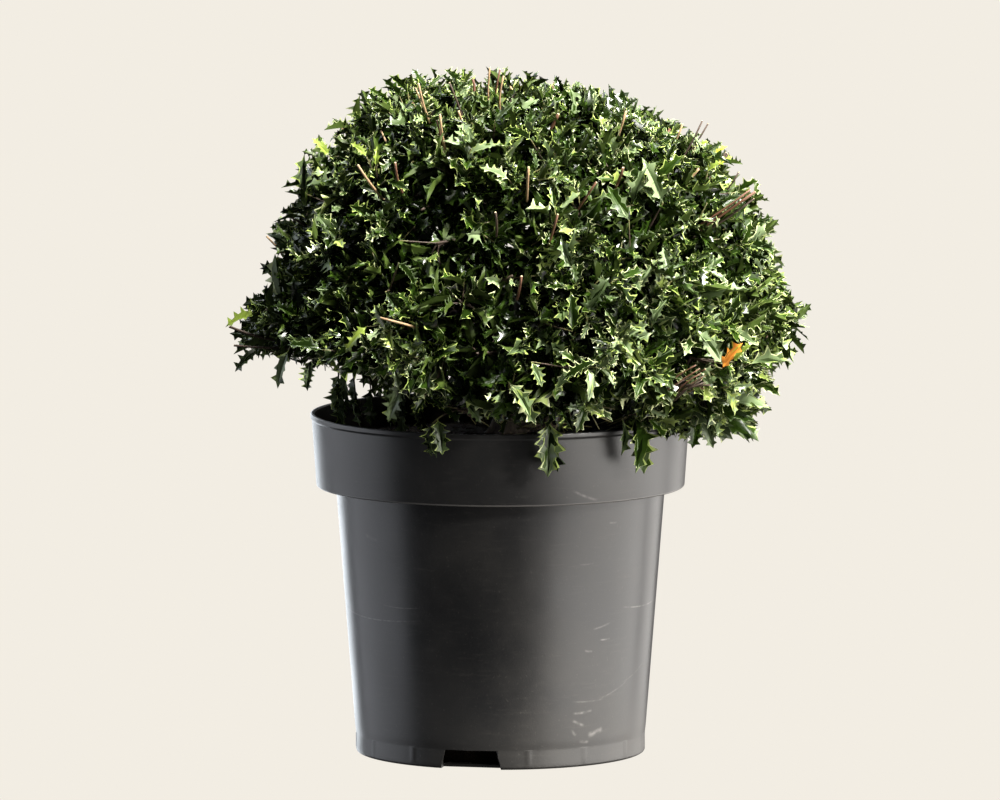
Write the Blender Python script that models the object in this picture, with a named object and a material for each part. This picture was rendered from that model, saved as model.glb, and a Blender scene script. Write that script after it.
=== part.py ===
"""Goshiki holly olive: a spiny evergreen shrub, clipped to a dome, in a round nursery pot.

Metres, +Z up. The origin is the middle of the pot's flat underside, and the plant's front faces -Y.
Run it with: blender --background --python part.py
"""

import math
import random

import bmesh
import bpy
from mathutils import Matrix, Vector
from mathutils.bvhtree import BVHTree

# Clearance left between two solids that touch on the real plant
GAP = 0.0003

# Pot: moulded plastic, with a deep collar round its mouth and drain notches round its foot
POT_HEIGHT = 0.340
RIM_RADIUS = 0.190
LIP_HEIGHT = 0.005
LIP_PROUD = 0.0015
COLLAR_HEIGHT = 0.0725
COLLAR_FOOT_RADIUS = 0.184
BODY_TOP_RADIUS = 0.1645
FOOT_RADIUS = 0.1447
FOOT_CORNER = 0.003
FOOT_BAND_HEIGHT = 0.020
FOOT_BAND_INSET = 0.001
WALL = 0.0025
BASE_THICKNESS = 0.003
POT_SEGMENTS = 48
NOTCH_COUNT = 3
NOTCH_FIRST_BEARING = -102.0
NOTCH_HEIGHT = 0.019
NOTCH_FOOT_WIDTH = 0.062
NOTCH_TOP_WIDTH = 0.052
NOTCH_DEPTH = 0.018

# Potting soil: it fills the pot to a hand's breadth of fingers under the rim
SOIL_TOP = 0.3195
SOIL_EDGE = 0.311
SOIL_FLAT_RADIUS = 0.040
SOIL_FOOT_RADIUS = 0.118
SOIL_SHOULDER = 0.036

# Crown: a clipped dome that flares at its foot, set a little to the right of the pot
HEART = Vector((0.021, 0.0, 0.430))
CROWN_HALF_WIDTH = 0.262
CROWN_RISE = 0.250
CROWN_DROP = 0.088
CROWN_DROP_TILT = 0.034
CROWN_DROP_BEARING = -30.0
HOLLOW_DEPTH = 0.040
HOLLOW_BEARING = -136.0
HOLLOW_SPREAD = 17.0
POWER_ABOVE = 2.25
POWER_BELOW = 4.0
CROWN_LEAN = 0.044
SKIRT_FLARE = 0.024
SKIRT_RISE = -0.03
SKIRT_SPREAD = 0.16
CLIP_UNEVEN = 0.012
LOWEST_RISE = -0.46
LEAST_REACH = 0.165

# Shares of the way from the heart to the clipped surface
BOUGH_END_SHARE = 0.44
LEAF_FLOOR_SHARE = 0.50
CORE_FLOOR_SHARE = 0.52
HUB_SHARE = 0.58
BRANCH_SHARE = 0.70
CORE_TOP_SHARE = 0.77
SHOOT_SHARE = 0.86
LEAF_TIP_SHARE = 1.035

# Masses of foliage: one on top, a ring of five under it and a skirt of seven
UPPER_ELEVATION = 38.0
UPPER_FIRST_BEARING = -90.0
UPPER_NAMES = ("front", "right", "back_right", "back_left", "left")
LOWER_ELEVATION = -2.0
LOWER_FIRST_BEARING = -90.0
LOWER_NAMES = ("front", "front_right", "right", "back_right", "back_left", "left", "front_left")
MASS_MARGIN = 0.0007
CORE_MARGIN = 0.0015
CORE_POT_MARGIN = 0.005
CORE_LEAST_DEPTH = 0.022
CORE_LOWEST_SLOPE = -0.38

# Trunk: one short stem that flares where it leaves the soil
TRUNK_FOOT = Vector((0.010, 0.0, SOIL_TOP + GAP))
TRUNK_HEIGHT = 0.088
TRUNK_LEAN = Vector((0.010, 0.004, 0.0))
TRUNK_OUTLINE = ((0.0, 0.0235), (0.07, 0.0190), (0.18, 0.0160), (0.45, 0.0142), (0.75, 0.0122), (1.0, 0.0090))
TRUNK_SIDES = 12
ROOT_RIDGES = 5
ROOT_RIDGE_DEPTH = 0.13

# Boughs: one to each mass, leaving the trunk ring by ring
BOUGH_SIDES = 8
BOUGH_RINGS = 6
BOUGH_TIP_RADIUS = 0.0034
LOWER_BOUGH_RADIUS = 0.0050
UPPER_BOUGH_RADIUS = 0.0048
TOP_BOUGH_RADIUS = 0.0062
LOWER_BOUGH_HEIGHT = 0.034
LOWER_BOUGH_STAGGER = 0.009
UPPER_BOUGH_HEIGHT = 0.066
TOP_BOUGH_HEIGHT = 0.080
BOUGH_CLEARANCE = 0.0020

# Twigs: three-sided, thinner at each branching
BRANCHES = 52
SHOOTS = 150
TWIG_SIDES = 3
HUB_RADIUS = 0.0030
BRANCH_RADIUS = 0.0024
SHOOT_RADIUS = 0.0017
SHOOT_TIP_RADIUS = 0.0012
FORK_DEPTH = 0.12
BRANCH_ARCH = 0.004
SHOOT_SEED = 7
SHOOT_JITTER = 0.035

# Leaves: pairs along each shoot, each pair a quarter turn from the last
LEAF_WIDTH_SHARE = 0.58
LEAF_WIDEST_SHARE = 0.44
LEAF_THICKEST_SHARE = 0.32
LEAF_THICK_SHARE = 0.040
LEAF_FOLD_SHARE = 0.070
LEAF_DROOP_SHARE = 0.060
LEAF_ROOT_STEP = 0.00012
LEAF_TRIES = ((1.0, 1.0), (1.0, 0.7), (0.84, 1.0), (0.84, 0.55), (0.7, 0.8), (0.7, 0.4))
LEAF_PAIRS = (
    {"back": 0.002, "length": 0.052, "angle": 34.0},
    {"back": 0.016, "length": 0.058, "angle": 62.0},
)

# Sprays that hang over the pot's rim, at the front and to the right
SPRAY_BEARINGS = (-108.0, -75.0, -48.0, -22.0, 6.0, 52.0, 100.0, 150.0)
SPRAY_OUT = 0.024
SPRAY_ABOVE = 0.016
SPRAY_ARCH = 0.010
SPRAY_ROOT_SHARE = 0.08
SPRAY_FLOOR = 0.282
SPRAY_OUTER_RADIUS = 0.272
SPRAY_SPLAY = 0.42
SPRAY_LENGTH = 0.056
SPRAY_TURNS = (-62.0, -24.0, 18.0, 58.0)
RIM_CLEARANCE = 0.003

GOLDEN_ANGLE = math.pi * (3.0 - math.sqrt(5.0))

POT_PLASTIC = ((0.030, 0.030, 0.031), 0.42)
SOIL_PEAT = ((0.020, 0.013, 0.009), 0.95)
BARK = ((0.120, 0.075, 0.048), 0.85)
FOLIAGE = ((0.040, 0.085, 0.030), 0.45)


def clear_scene():
    for old in list(bpy.data.objects):
        bpy.data.objects.remove(old, do_unlink=True)


def make_material(name, look):
    """A plain Principled material of that colour and roughness."""
    colour, roughness = look
    material = bpy.data.materials.new(name)
    material.use_nodes = True
    shader = material.node_tree.nodes["Principled BSDF"]
    shader.inputs["Base Color"].default_value = (*colour, 1.0)
    shader.inputs["Roughness"].default_value = roughness
    shader.inputs["Metallic"].default_value = 0.0
    return material


def make_mesh(name, points, faces):
    """A closed mesh from points and faces, its faces turned outwards."""
    mesh = bpy.data.meshes.new(name)
    mesh.from_pydata([tuple(p) for p in points], [], faces)
    working = bmesh.new()
    working.from_mesh(mesh)
    bmesh.ops.recalc_face_normals(working, faces=working.faces)
    working.to_mesh(mesh)
    working.free()
    return mesh


def add_object(name, mesh, material=None, collection=None):
    """An object of that mesh, in that collection or in the scene's own."""
    made = bpy.data.objects.new(name, mesh)
    if material is not None:
        mesh.materials.clear()
        mesh.materials.append(material)
    (collection or bpy.context.scene.collection).objects.link(made)
    return made


def compass(bearing, elevation=0.0):
    """Unit vector at a bearing in degrees from +X towards +Y, and an elevation above the level."""
    turn, lift = math.radians(bearing), math.radians(elevation)
    return Vector((math.cos(turn) * math.cos(lift), math.sin(turn) * math.cos(lift), math.sin(lift)))


def turned_mesh(name, outline, segments):
    """A solid of revolution about Z. The outline runs from the axis to the axis as (radius, height)."""
    points = [Vector((0.0, 0.0, outline[0][1]))]
    rings = []
    for radius, height in outline[1:-1]:
        rings.append(len(points))
        for k in range(segments):
            points.append(compass(360.0 * k / segments) * radius + Vector((0.0, 0.0, height)))
    last = len(points)
    points.append(Vector((0.0, 0.0, outline[-1][1])))
    faces = []
    for k in range(segments):
        after = (k + 1) % segments
        faces.append((0, rings[0] + after, rings[0] + k))
        faces.append((last, rings[-1] + k, rings[-1] + after))
        for lower, upper in zip(rings, rings[1:]):
            faces.append((lower + k, lower + after, upper + after, upper + k))
    return make_mesh(name, points, faces)


def square_to(direction):
    """Two unit vectors square to a direction and to each other."""
    helper = Vector((0.0, 0.0, 1.0)) if abs(direction.z) < 0.9 else Vector((1.0, 0.0, 0.0))
    across = direction.cross(helper).normalized()
    return across, direction.cross(across).normalized()


def limb_mesh(name, line, radii, sides, ridge_of=None):
    """A tube along a line of points, with a radius at each and flat ends.

    ridge_of(place, turn) scales the radius round the limb, for root ridges.
    """
    points, faces = [], []
    across, _ = square_to((line[1] - line[0]).normalized())
    for place, (centre, radius) in enumerate(zip(line, radii)):
        before, after = line[max(place - 1, 0)], line[min(place + 1, len(line) - 1)]
        along = (after - before).normalized()
        across = (across - along * across.dot(along)).normalized()
        other = along.cross(across)
        for k in range(sides):
            turn = math.tau * k / sides
            reach = radius * (ridge_of(place, turn) if ridge_of else 1.0)
            points.append(centre + (across * math.cos(turn) + other * math.sin(turn)) * reach)
    for place in range(len(line) - 1):
        first, second = place * sides, (place + 1) * sides
        for k in range(sides):
            after = (k + 1) % sides
            faces.append((first + k, first + after, second + after, second + k))
    faces.append(tuple(reversed(range(sides))))
    faces.append(tuple(range((len(line) - 1) * sides, len(line) * sides)))
    return make_mesh(name, points, faces)


def bent_line(start, lead, end, steps):
    """Points along a curve from start to end, pulled towards lead."""
    line = []
    for k in range(steps):
        t = k / (steps - 1)
        line.append(start * (1 - t) ** 2 + lead * 2 * t * (1 - t) + end * t * t)
    return line


def blended(first, last, count):
    """Evenly spaced values from first to last."""
    return [first + (last - first) * k / (count - 1) for k in range(count)]


def helper_object(name, mesh):
    """A cutter: it shapes other objects and is no part of the plant."""
    made = add_object(name, mesh)
    made.hide_render = True
    made.display_type = "WIRE"
    return made


def cut_by(target, cutter):
    modifier = target.modifiers.new(f"less_{cutter.name}", "BOOLEAN")
    modifier.operation = "DIFFERENCE"
    modifier.solver = "EXACT"
    modifier.object = cutter


def body_radius(height):
    """The pot body's outer radius at a height, between its foot band and its collar."""
    share = (height - FOOT_BAND_HEIGHT) / (POT_HEIGHT - COLLAR_HEIGHT - FOOT_BAND_HEIGHT)
    return FOOT_RADIUS + FOOT_BAND_INSET + (BODY_TOP_RADIUS - FOOT_RADIUS - FOOT_BAND_INSET) * share


def pot_outline():
    """The pot's wall, up the outside from the middle of its underside and down the inside."""
    collar_foot = POT_HEIGHT - COLLAR_HEIGHT
    collar_top_radius = RIM_RADIUS - LIP_PROUD
    outline = [(0.0, 0.0)]
    for turn in (0.0, 45.0, 90.0):
        swing = math.radians(turn)
        outline.append((
            FOOT_RADIUS - FOOT_CORNER * (1 - math.sin(swing)),
            FOOT_CORNER * (1 - math.cos(swing)),
        ))
    outline += [
        (FOOT_RADIUS, FOOT_BAND_HEIGHT - FOOT_BAND_INSET),
        (body_radius(FOOT_BAND_HEIGHT), FOOT_BAND_HEIGHT),
        (BODY_TOP_RADIUS, collar_foot),
        (COLLAR_FOOT_RADIUS, collar_foot),
        (collar_top_radius, POT_HEIGHT - LIP_HEIGHT - LIP_PROUD),
        (RIM_RADIUS, POT_HEIGHT - LIP_HEIGHT),
        (RIM_RADIUS, POT_HEIGHT - LIP_PROUD),
        (RIM_RADIUS - LIP_PROUD, POT_HEIGHT),
        (collar_top_radius - WALL, POT_HEIGHT),
        (COLLAR_FOOT_RADIUS - WALL, collar_foot + WALL),
        (BODY_TOP_RADIUS - WALL, collar_foot + WALL),
        (body_radius(BASE_THICKNESS + FOOT_CORNER) - WALL, BASE_THICKNESS + FOOT_CORNER),
        (body_radius(BASE_THICKNESS) - WALL - FOOT_CORNER, BASE_THICKNESS),
        (0.0, BASE_THICKNESS),
    ]
    return outline


def notch_cutter(bearing):
    """A wedge with sloping sides that opens one drain notch through the foot of the wall."""
    outward = compass(bearing)
    sideways = compass(bearing + 90.0)
    points = []
    for radius in (FOOT_RADIUS - NOTCH_DEPTH, FOOT_RADIUS + WALL):
        for height, width in ((-WALL, NOTCH_FOOT_WIDTH), (NOTCH_HEIGHT, NOTCH_TOP_WIDTH)):
            for side in (-0.5, 0.5):
                points.append(outward * radius + sideways * side * width + Vector((0.0, 0.0, height)))
    faces = [(0, 1, 3, 2), (4, 6, 7, 5), (0, 4, 5, 1), (2, 3, 7, 6), (0, 2, 6, 4), (1, 5, 7, 3)]
    return helper_object(f"notch_{round(bearing)}", make_mesh("notch", points, faces))


def make_pot():
    plastic = make_material("pot_plastic", POT_PLASTIC)
    pot = add_object("pot", turned_mesh("pot", pot_outline(), POT_SEGMENTS), plastic)
    for k in range(NOTCH_COUNT):
        cut_by(pot, notch_cutter(NOTCH_FIRST_BEARING + 360.0 * k / NOTCH_COUNT))
    return pot


def make_soil():
    """The root ball in its potting soil: it follows the pot's inside, and is rounded at its foot."""
    collar_foot = POT_HEIGHT - COLLAR_HEIGHT
    inset = WALL + GAP
    shelf = collar_foot + WALL + GAP
    slope = (RIM_RADIUS - LIP_PROUD - COLLAR_FOOT_RADIUS) / COLLAR_HEIGHT
    edge_radius = COLLAR_FOOT_RADIUS - inset + slope * (SOIL_EDGE - shelf)
    outline = [
        (0.0, BASE_THICKNESS + GAP),
        (SOIL_FOOT_RADIUS, BASE_THICKNESS + GAP),
        (SOIL_FOOT_RADIUS + 0.004, NOTCH_HEIGHT + WALL),
        (body_radius(SOIL_SHOULDER) - inset, SOIL_SHOULDER),
        (body_radius(collar_foot) - inset, shelf),
        (COLLAR_FOOT_RADIUS - inset, shelf),
        (edge_radius, SOIL_EDGE),
        (0.5 * (edge_radius + SOIL_FLAT_RADIUS), 0.5 * (SOIL_EDGE + SOIL_TOP) + 0.001),
        (SOIL_FLAT_RADIUS, SOIL_TOP),
        (0.0, SOIL_TOP),
    ]
    peat = make_material("potting_soil", SOIL_PEAT)
    return add_object("soil", turned_mesh("soil", outline, POT_SEGMENTS), peat)


def crown_drop(bearing):
    """How far the crown hangs below its heart at a bearing in radians: least in the hollow at its front left."""
    from_hollow = math.remainder(bearing - math.radians(HOLLOW_BEARING), math.tau)
    hollow = HOLLOW_DEPTH * math.exp(-((from_hollow / math.radians(HOLLOW_SPREAD)) ** 2))
    return CROWN_DROP + CROWN_DROP_TILT * math.cos(bearing - math.radians(CROWN_DROP_BEARING)) - hollow


def crown_reach(direction):
    """How far the clipped surface lies from the heart in that direction, before the crown's lean."""
    level = math.hypot(direction.x, direction.y)
    bearing = math.atan2(direction.y, direction.x)
    half_width = CROWN_HALF_WIDTH + SKIRT_FLARE * math.exp(-(((direction.z - SKIRT_RISE) / SKIRT_SPREAD) ** 2))
    drop = crown_drop(bearing)
    height, power = (CROWN_RISE, POWER_ABOVE) if direction.z > 0.0 else (drop, POWER_BELOW)
    spread = (level / half_width) ** power + (abs(direction.z) / height) ** power
    uneven = 1.0 + CLIP_UNEVEN * math.sin(5.0 * bearing + 7.0 * direction.z) * level
    return uneven * spread ** (-1.0 / power)


def lean_at(rise):
    """How far the crown's middle has moved to -X at a height above the heart."""
    return CROWN_LEAN * (max(rise, 0.0) / CROWN_RISE) ** 4


def crown_point(direction, share):
    """The point that share of the way from the heart to the clipped surface."""
    offset = direction * crown_reach(direction) * share
    return HEART + offset - Vector((lean_at(offset.z), 0.0, 0.0))


def share_of(point):
    """Where a point lies between the heart, 0, and the clipped surface, 1."""
    offset = point - HEART
    offset.x += lean_at(offset.z)
    length = offset.length
    return length / crown_reach(offset / length) if length > 1e-6 else 0.0


def mass_headings():
    """Each mass of foliage by name, with the direction from the heart to its middle."""
    headings = {"top": Vector((0.0, 0.0, 1.0))}
    for ring, names, first, elevation in (
        ("upper", UPPER_NAMES, UPPER_FIRST_BEARING, UPPER_ELEVATION),
        ("lower", LOWER_NAMES, LOWER_FIRST_BEARING, LOWER_ELEVATION),
    ):
        for k, name in enumerate(names):
            headings[f"{ring}_{name}"] = compass(first + 360.0 * k / len(names), elevation)
    return headings


def mass_of(point, headings):
    """The mass whose heading a point lies nearest to."""
    direction = (point - HEART).normalized()
    return max(headings, key=lambda name: direction.dot(headings[name]))


def within_mass(point, name, headings, margin):
    """Whether a point keeps that margin from the planes that part this mass from the others."""
    offset = point - HEART
    own = headings[name]
    return all(
        offset.dot((own - other).normalized()) > margin
        for label, other in headings.items()
        if label != name
    )


def clear_of_pot(point, clearance):
    """Whether a point keeps clear of the pot and the soil: above the rim, outside it or within its mouth."""
    radius = math.hypot(point.x, point.y)
    if radius > RIM_RADIUS + clearance or point.z > POT_HEIGHT + clearance:
        return True
    return radius < COLLAR_FOOT_RADIUS - WALL - clearance and point.z > SOIL_TOP + clearance


def clear_of_limbs(point, limbs, clearance):
    """Whether a point keeps clear of every bough's centre line, by the bough's radius and more."""
    for line, radii in limbs:
        for start, end, radius in zip(line, line[1:], radii):
            run = end - start
            t = min(1.0, max(0.0, (point - start).dot(run) / run.length_squared))
            if (point - start - run * t).length < radius + clearance:
                return False
    return True


def even_directions(count, jitter, seed):
    """Directions spread evenly by the golden angle, each moved a little, but none where the crown is shallow."""
    chance = random.Random(seed)
    found = []
    for k in range(count):
        rise = 1.0 - (1.0 - LOWEST_RISE) * (k + 0.5) / count
        level = math.sqrt(1.0 - rise * rise)
        turn = k * GOLDEN_ANGLE
        shift = Vector((chance.uniform(-1, 1), chance.uniform(-1, 1), chance.uniform(-1, 1))) * jitter
        direction = Vector((level * math.cos(turn), level * math.sin(turn), rise)) + shift
        direction.z = max(direction.z, LOWEST_RISE)
        direction.normalize()
        if crown_reach(direction) > LEAST_REACH:
            found.append(direction)
    return found


def trunk_point(height):
    """A point on the trunk's centre line, at a height above its foot."""
    share = height / TRUNK_HEIGHT
    return TRUNK_FOOT + TRUNK_LEAN * share * share + Vector((0.0, 0.0, height))


def trunk_line(growth):
    """The trunk's centre line and radii, each radius larger by growth."""
    line = [trunk_point(share * TRUNK_HEIGHT) for share, _ in TRUNK_OUTLINE]
    return line, [radius + growth for _, radius in TRUNK_OUTLINE]


def root_ridge(place, turn):
    """Ridges that run down into the roots: strongest at the foot, gone above the flare."""
    strength = ROOT_RIDGE_DEPTH * max(0.0, 1.0 - TRUNK_OUTLINE[place][0] / 0.45)
    return 1.0 + strength * math.cos(ROOT_RIDGES * turn)


def make_trunk(bark):
    line, radii = trunk_line(0.0)
    return add_object("trunk", limb_mesh("trunk", line, radii, TRUNK_SIDES, root_ridge), bark)


def bough_line(name, heading, place):
    """A bough's centre line and radii, from inside the trunk to where it enters its mass."""
    end = crown_point(heading, BOUGH_END_SHARE)
    if name == "top":
        height, radius, lift = TOP_BOUGH_HEIGHT, TOP_BOUGH_RADIUS, 0.5
    elif name.startswith("upper"):
        height, radius, lift = UPPER_BOUGH_HEIGHT, UPPER_BOUGH_RADIUS, 0.45
    else:
        height, radius, lift = LOWER_BOUGH_HEIGHT, LOWER_BOUGH_RADIUS, 0.10
        height += LOWER_BOUGH_STAGGER * (place % 2)
    start = trunk_point(height)
    lead = start.lerp(end, 0.5)
    lead.z = start.z + (end.z - start.z) * lift
    return bent_line(start, lead, end, BOUGH_RINGS), blended(radius, BOUGH_TIP_RADIUS, BOUGH_RINGS)


def make_boughs(headings, bark):
    """One bough to each mass, its foot cut to the trunk's side. Returns their lines and radii."""
    line, radii = trunk_line(GAP)
    line[0] -= Vector((0.0, 0.0, GAP))
    line[-1] += Vector((0.0, 0.0, GAP))
    socket = helper_object("bough_socket", limb_mesh("socket", line, radii, TRUNK_SIDES, root_ridge))
    limbs = {}
    for place, (name, heading) in enumerate(headings.items()):
        limbs[name] = bough_line(name, heading, place)
        bough = add_object(f"bough_{name}", limb_mesh("bough", *limbs[name], BOUGH_SIDES), bark)
        cut_by(bough, socket)
    return limbs


def leaf_mesh():
    """One leaf of six faces and unit length along +X: folded along its midrib, drooping to its tip."""
    half_width = 0.5 * LEAF_WIDTH_SHARE
    points = [
        (0.0, 0.0, 0.0),
        (LEAF_WIDEST_SHARE, half_width, LEAF_FOLD_SHARE),
        (LEAF_WIDEST_SHARE, -half_width, LEAF_FOLD_SHARE),
        (LEAF_THICKEST_SHARE, 0.0, LEAF_THICK_SHARE - LEAF_THICKEST_SHARE * LEAF_DROOP_SHARE),
        (1.0, 0.0, -LEAF_DROOP_SHARE),
    ]
    return make_mesh("leaf", points, [(0, 3, 1), (3, 4, 1), (0, 2, 3), (3, 2, 4), (0, 1, 4), (0, 4, 2)])


def leaf_frame(root, along, face, length):
    """Where a leaf goes: its root, the way it points, the way its upper side faces and its length."""
    side = face.cross(along).normalized()
    up = along.cross(side)
    turn = Matrix((along, side, up)).transposed().to_4x4()
    return Matrix.Translation(root + along * LEAF_ROOT_STEP) @ turn @ Matrix.Scale(length, 4)


def shape_of(mesh, frame=Matrix.Identity(4)):
    """A mesh set in place, for finding what it would cross."""
    faces = [tuple(face.vertices) for face in mesh.polygons]
    return BVHTree.FromPolygons([frame @ vertex.co for vertex in mesh.vertices], faces)


def fitted_leaf(leaf, root, along, side, pair, fits, others):
    """The first size and slope of leaf that stays in its space and crosses none of the others, or None."""
    for size, slope in LEAF_TRIES:
        angle = math.radians(pair["angle"] * slope)
        outward = along * math.cos(angle) + side * math.sin(angle)
        face = along * math.sin(angle) - side * math.cos(angle)
        frame = leaf_frame(root, outward, face, pair["length"] * size)
        corners = [frame @ vertex.co for vertex in leaf.vertices]
        middles = [corners[4].lerp(corners[k], 0.5) for k in (1, 2, 3)]
        if not all(fits(corner) for corner in corners[1:] + middles):
            continue
        shape = shape_of(leaf, frame)
        if not any(shape.overlap(other) for other in others):
            return frame
    return None


def shoot_leaves(leaf, line, roll, fits, others):
    """Frames for the pairs of leaves on one shoot. Each new leaf is added to the others."""
    along = (line[-1] - line[-2]).normalized()
    across, other = square_to(along)
    frames = []
    for k, pair in enumerate(LEAF_PAIRS):
        turn = roll + k * math.pi / 2
        sideways = across * math.cos(turn) + other * math.sin(turn)
        root = line[-1] - along * pair["back"]
        found = [fitted_leaf(leaf, root, along, side, pair, fits, others) for side in (sideways, -sideways)]
        frames += [frame for frame in found if frame is not None]
        others += [shape_of(leaf, frame) for frame in found if frame is not None]
    return frames


def spray_leaves(leaf, line, outward, fits, others):
    """Frames for the leaves of a spray that hangs over the rim, fanned about straight down."""
    root = line[-1].lerp(line[-2], SPRAY_ROOT_SHARE)
    down = (outward * SPRAY_SPLAY - Vector((0.0, 0.0, 1.0))).normalized()
    sideways = Vector((-outward.y, outward.x, 0.0))
    frames = []
    for turn in SPRAY_TURNS:
        swing = math.radians(turn)
        along = down * math.cos(swing) + sideways * math.sin(swing)
        frame = leaf_frame(root, along, outward, SPRAY_LENGTH)
        shape = shape_of(leaf, frame)
        if all(fits(frame @ vertex.co) for vertex in leaf.vertices) and not any(map(shape.overlap, others)):
            frames.append(frame)
    others += [shape_of(leaf, frame) for frame in frames]
    return frames


def cell_outline(name, headings):
    """Directions round the edge of one mass's space, with one more halfway along each side."""
    own = headings[name]
    across, other = square_to(own)
    cuts = [own - rival for label, rival in headings.items() if label != name]
    if own.z < 0.5:
        level = Vector((own.x, own.y, 0.0)).normalized()
        cuts.append(Vector((0.0, 0.0, 1.0)) - level * CORE_LOWEST_SLOPE)
    corners = [own + (across * u + other * v) * 2.0 for u, v in ((-1, -1), (1, -1), (1, 1), (-1, 1))]
    for cut in cuts:
        kept = []
        for first, second in zip(corners, corners[1:] + corners[:1]):
            depth, next_depth = first.dot(cut), second.dot(cut)
            if depth >= 0.0:
                kept.append(first)
            if depth * next_depth < 0.0:
                kept.append(first.lerp(second, depth / (depth - next_depth)))
        corners = kept
    outline = []
    for first, second in zip(corners, corners[1:] + corners[:1]):
        outline += [first.normalized(), (first + second).normalized()]
    return outline


def core_mesh(name, headings):
    """The shaded heart of one mass: a block as wide as its walls allow, domed on its outer side."""
    heading = headings[name]

    def pulled_in(direction, share):
        """The point at a direction and a share, drawn towards the block's middle until it has room."""
        wanted, middle = crown_point(direction, share), crown_point(heading, share)
        near, far = 0.0, 1.0
        for _ in range(12):
            half = 0.5 * (near + far)
            point = middle.lerp(wanted, half)
            if within_mass(point, name, headings, CORE_MARGIN) and clear_of_pot(point, CORE_POT_MARGIN):
                near = half
            else:
                far = half
        return middle.lerp(wanted, near)

    floor = CORE_FLOOR_SHARE * crown_reach(heading)

    def deep_enough(edge):
        """An edge's direction, drawn to the heading until the crown is deep enough there for the block."""
        share = 1.0
        drawn = edge
        while share > 0.0 and crown_reach(drawn) * CORE_TOP_SHARE < floor + CORE_LEAST_DEPTH:
            share -= 0.04
            drawn = heading.lerp(edge, share).normalized()
        return drawn

    outline = [deep_enough(edge) for edge in cell_outline(name, headings)]
    count = len(outline)
    points = [crown_point(heading, CORE_TOP_SHARE)]
    points += [pulled_in(heading.lerp(edge, 0.55).normalized(), CORE_TOP_SHARE) for edge in outline]
    points += [pulled_in(edge, CORE_TOP_SHARE) for edge in outline]
    points += [pulled_in(edge, floor / crown_reach(edge)) for edge in outline[::2]]
    points.append(crown_point(heading, CORE_FLOOR_SHARE))
    inner = 1 + 2 * count
    faces = []
    for k in range(count):
        after = (k + 1) % count
        faces.append((0, 1 + k, 1 + after))
        faces.append((1 + k, 1 + count + k, 1 + count + after))
        faces.append((1 + k, 1 + count + after, 1 + after))
    for k in range(count // 2):
        after = (k + 1) % (count // 2)
        rim, rim_after = 1 + count + 2 * k, 1 + count + (2 * k + 2) % count
        faces.append((rim, inner + k, rim + 1))
        faces.append((rim + 1, inner + k, inner + after))
        faces.append((rim + 1, inner + after, rim_after))
        faces.append((len(points) - 1, inner + after, inner + k))
    return make_mesh("core", points, faces)


def twig_from(point, lines):
    """Where a new twig leaves the line whose end lies nearest to a point: just inside that end."""
    nearest = min(lines, key=lambda line: (line[-1] - point).length)
    return nearest[-1].lerp(nearest[-2], FORK_DEPTH)


def joined_mesh(base, pieces):
    """The union of an object with all the pieces in a collection, which are then removed."""
    modifier = base.modifiers.new("grown_together", "BOOLEAN")
    modifier.operation = "UNION"
    modifier.operand_type = "COLLECTION"
    modifier.collection = pieces
    modifier.solver = "EXACT"
    evaluated = base.evaluated_get(bpy.context.evaluated_depsgraph_get())
    whole = bpy.data.meshes.new_from_object(evaluated)
    base.modifiers.clear()
    for piece in list(pieces.objects):
        bpy.data.objects.remove(piece, do_unlink=True)
    bpy.data.collections.remove(pieces)
    return whole


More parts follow.
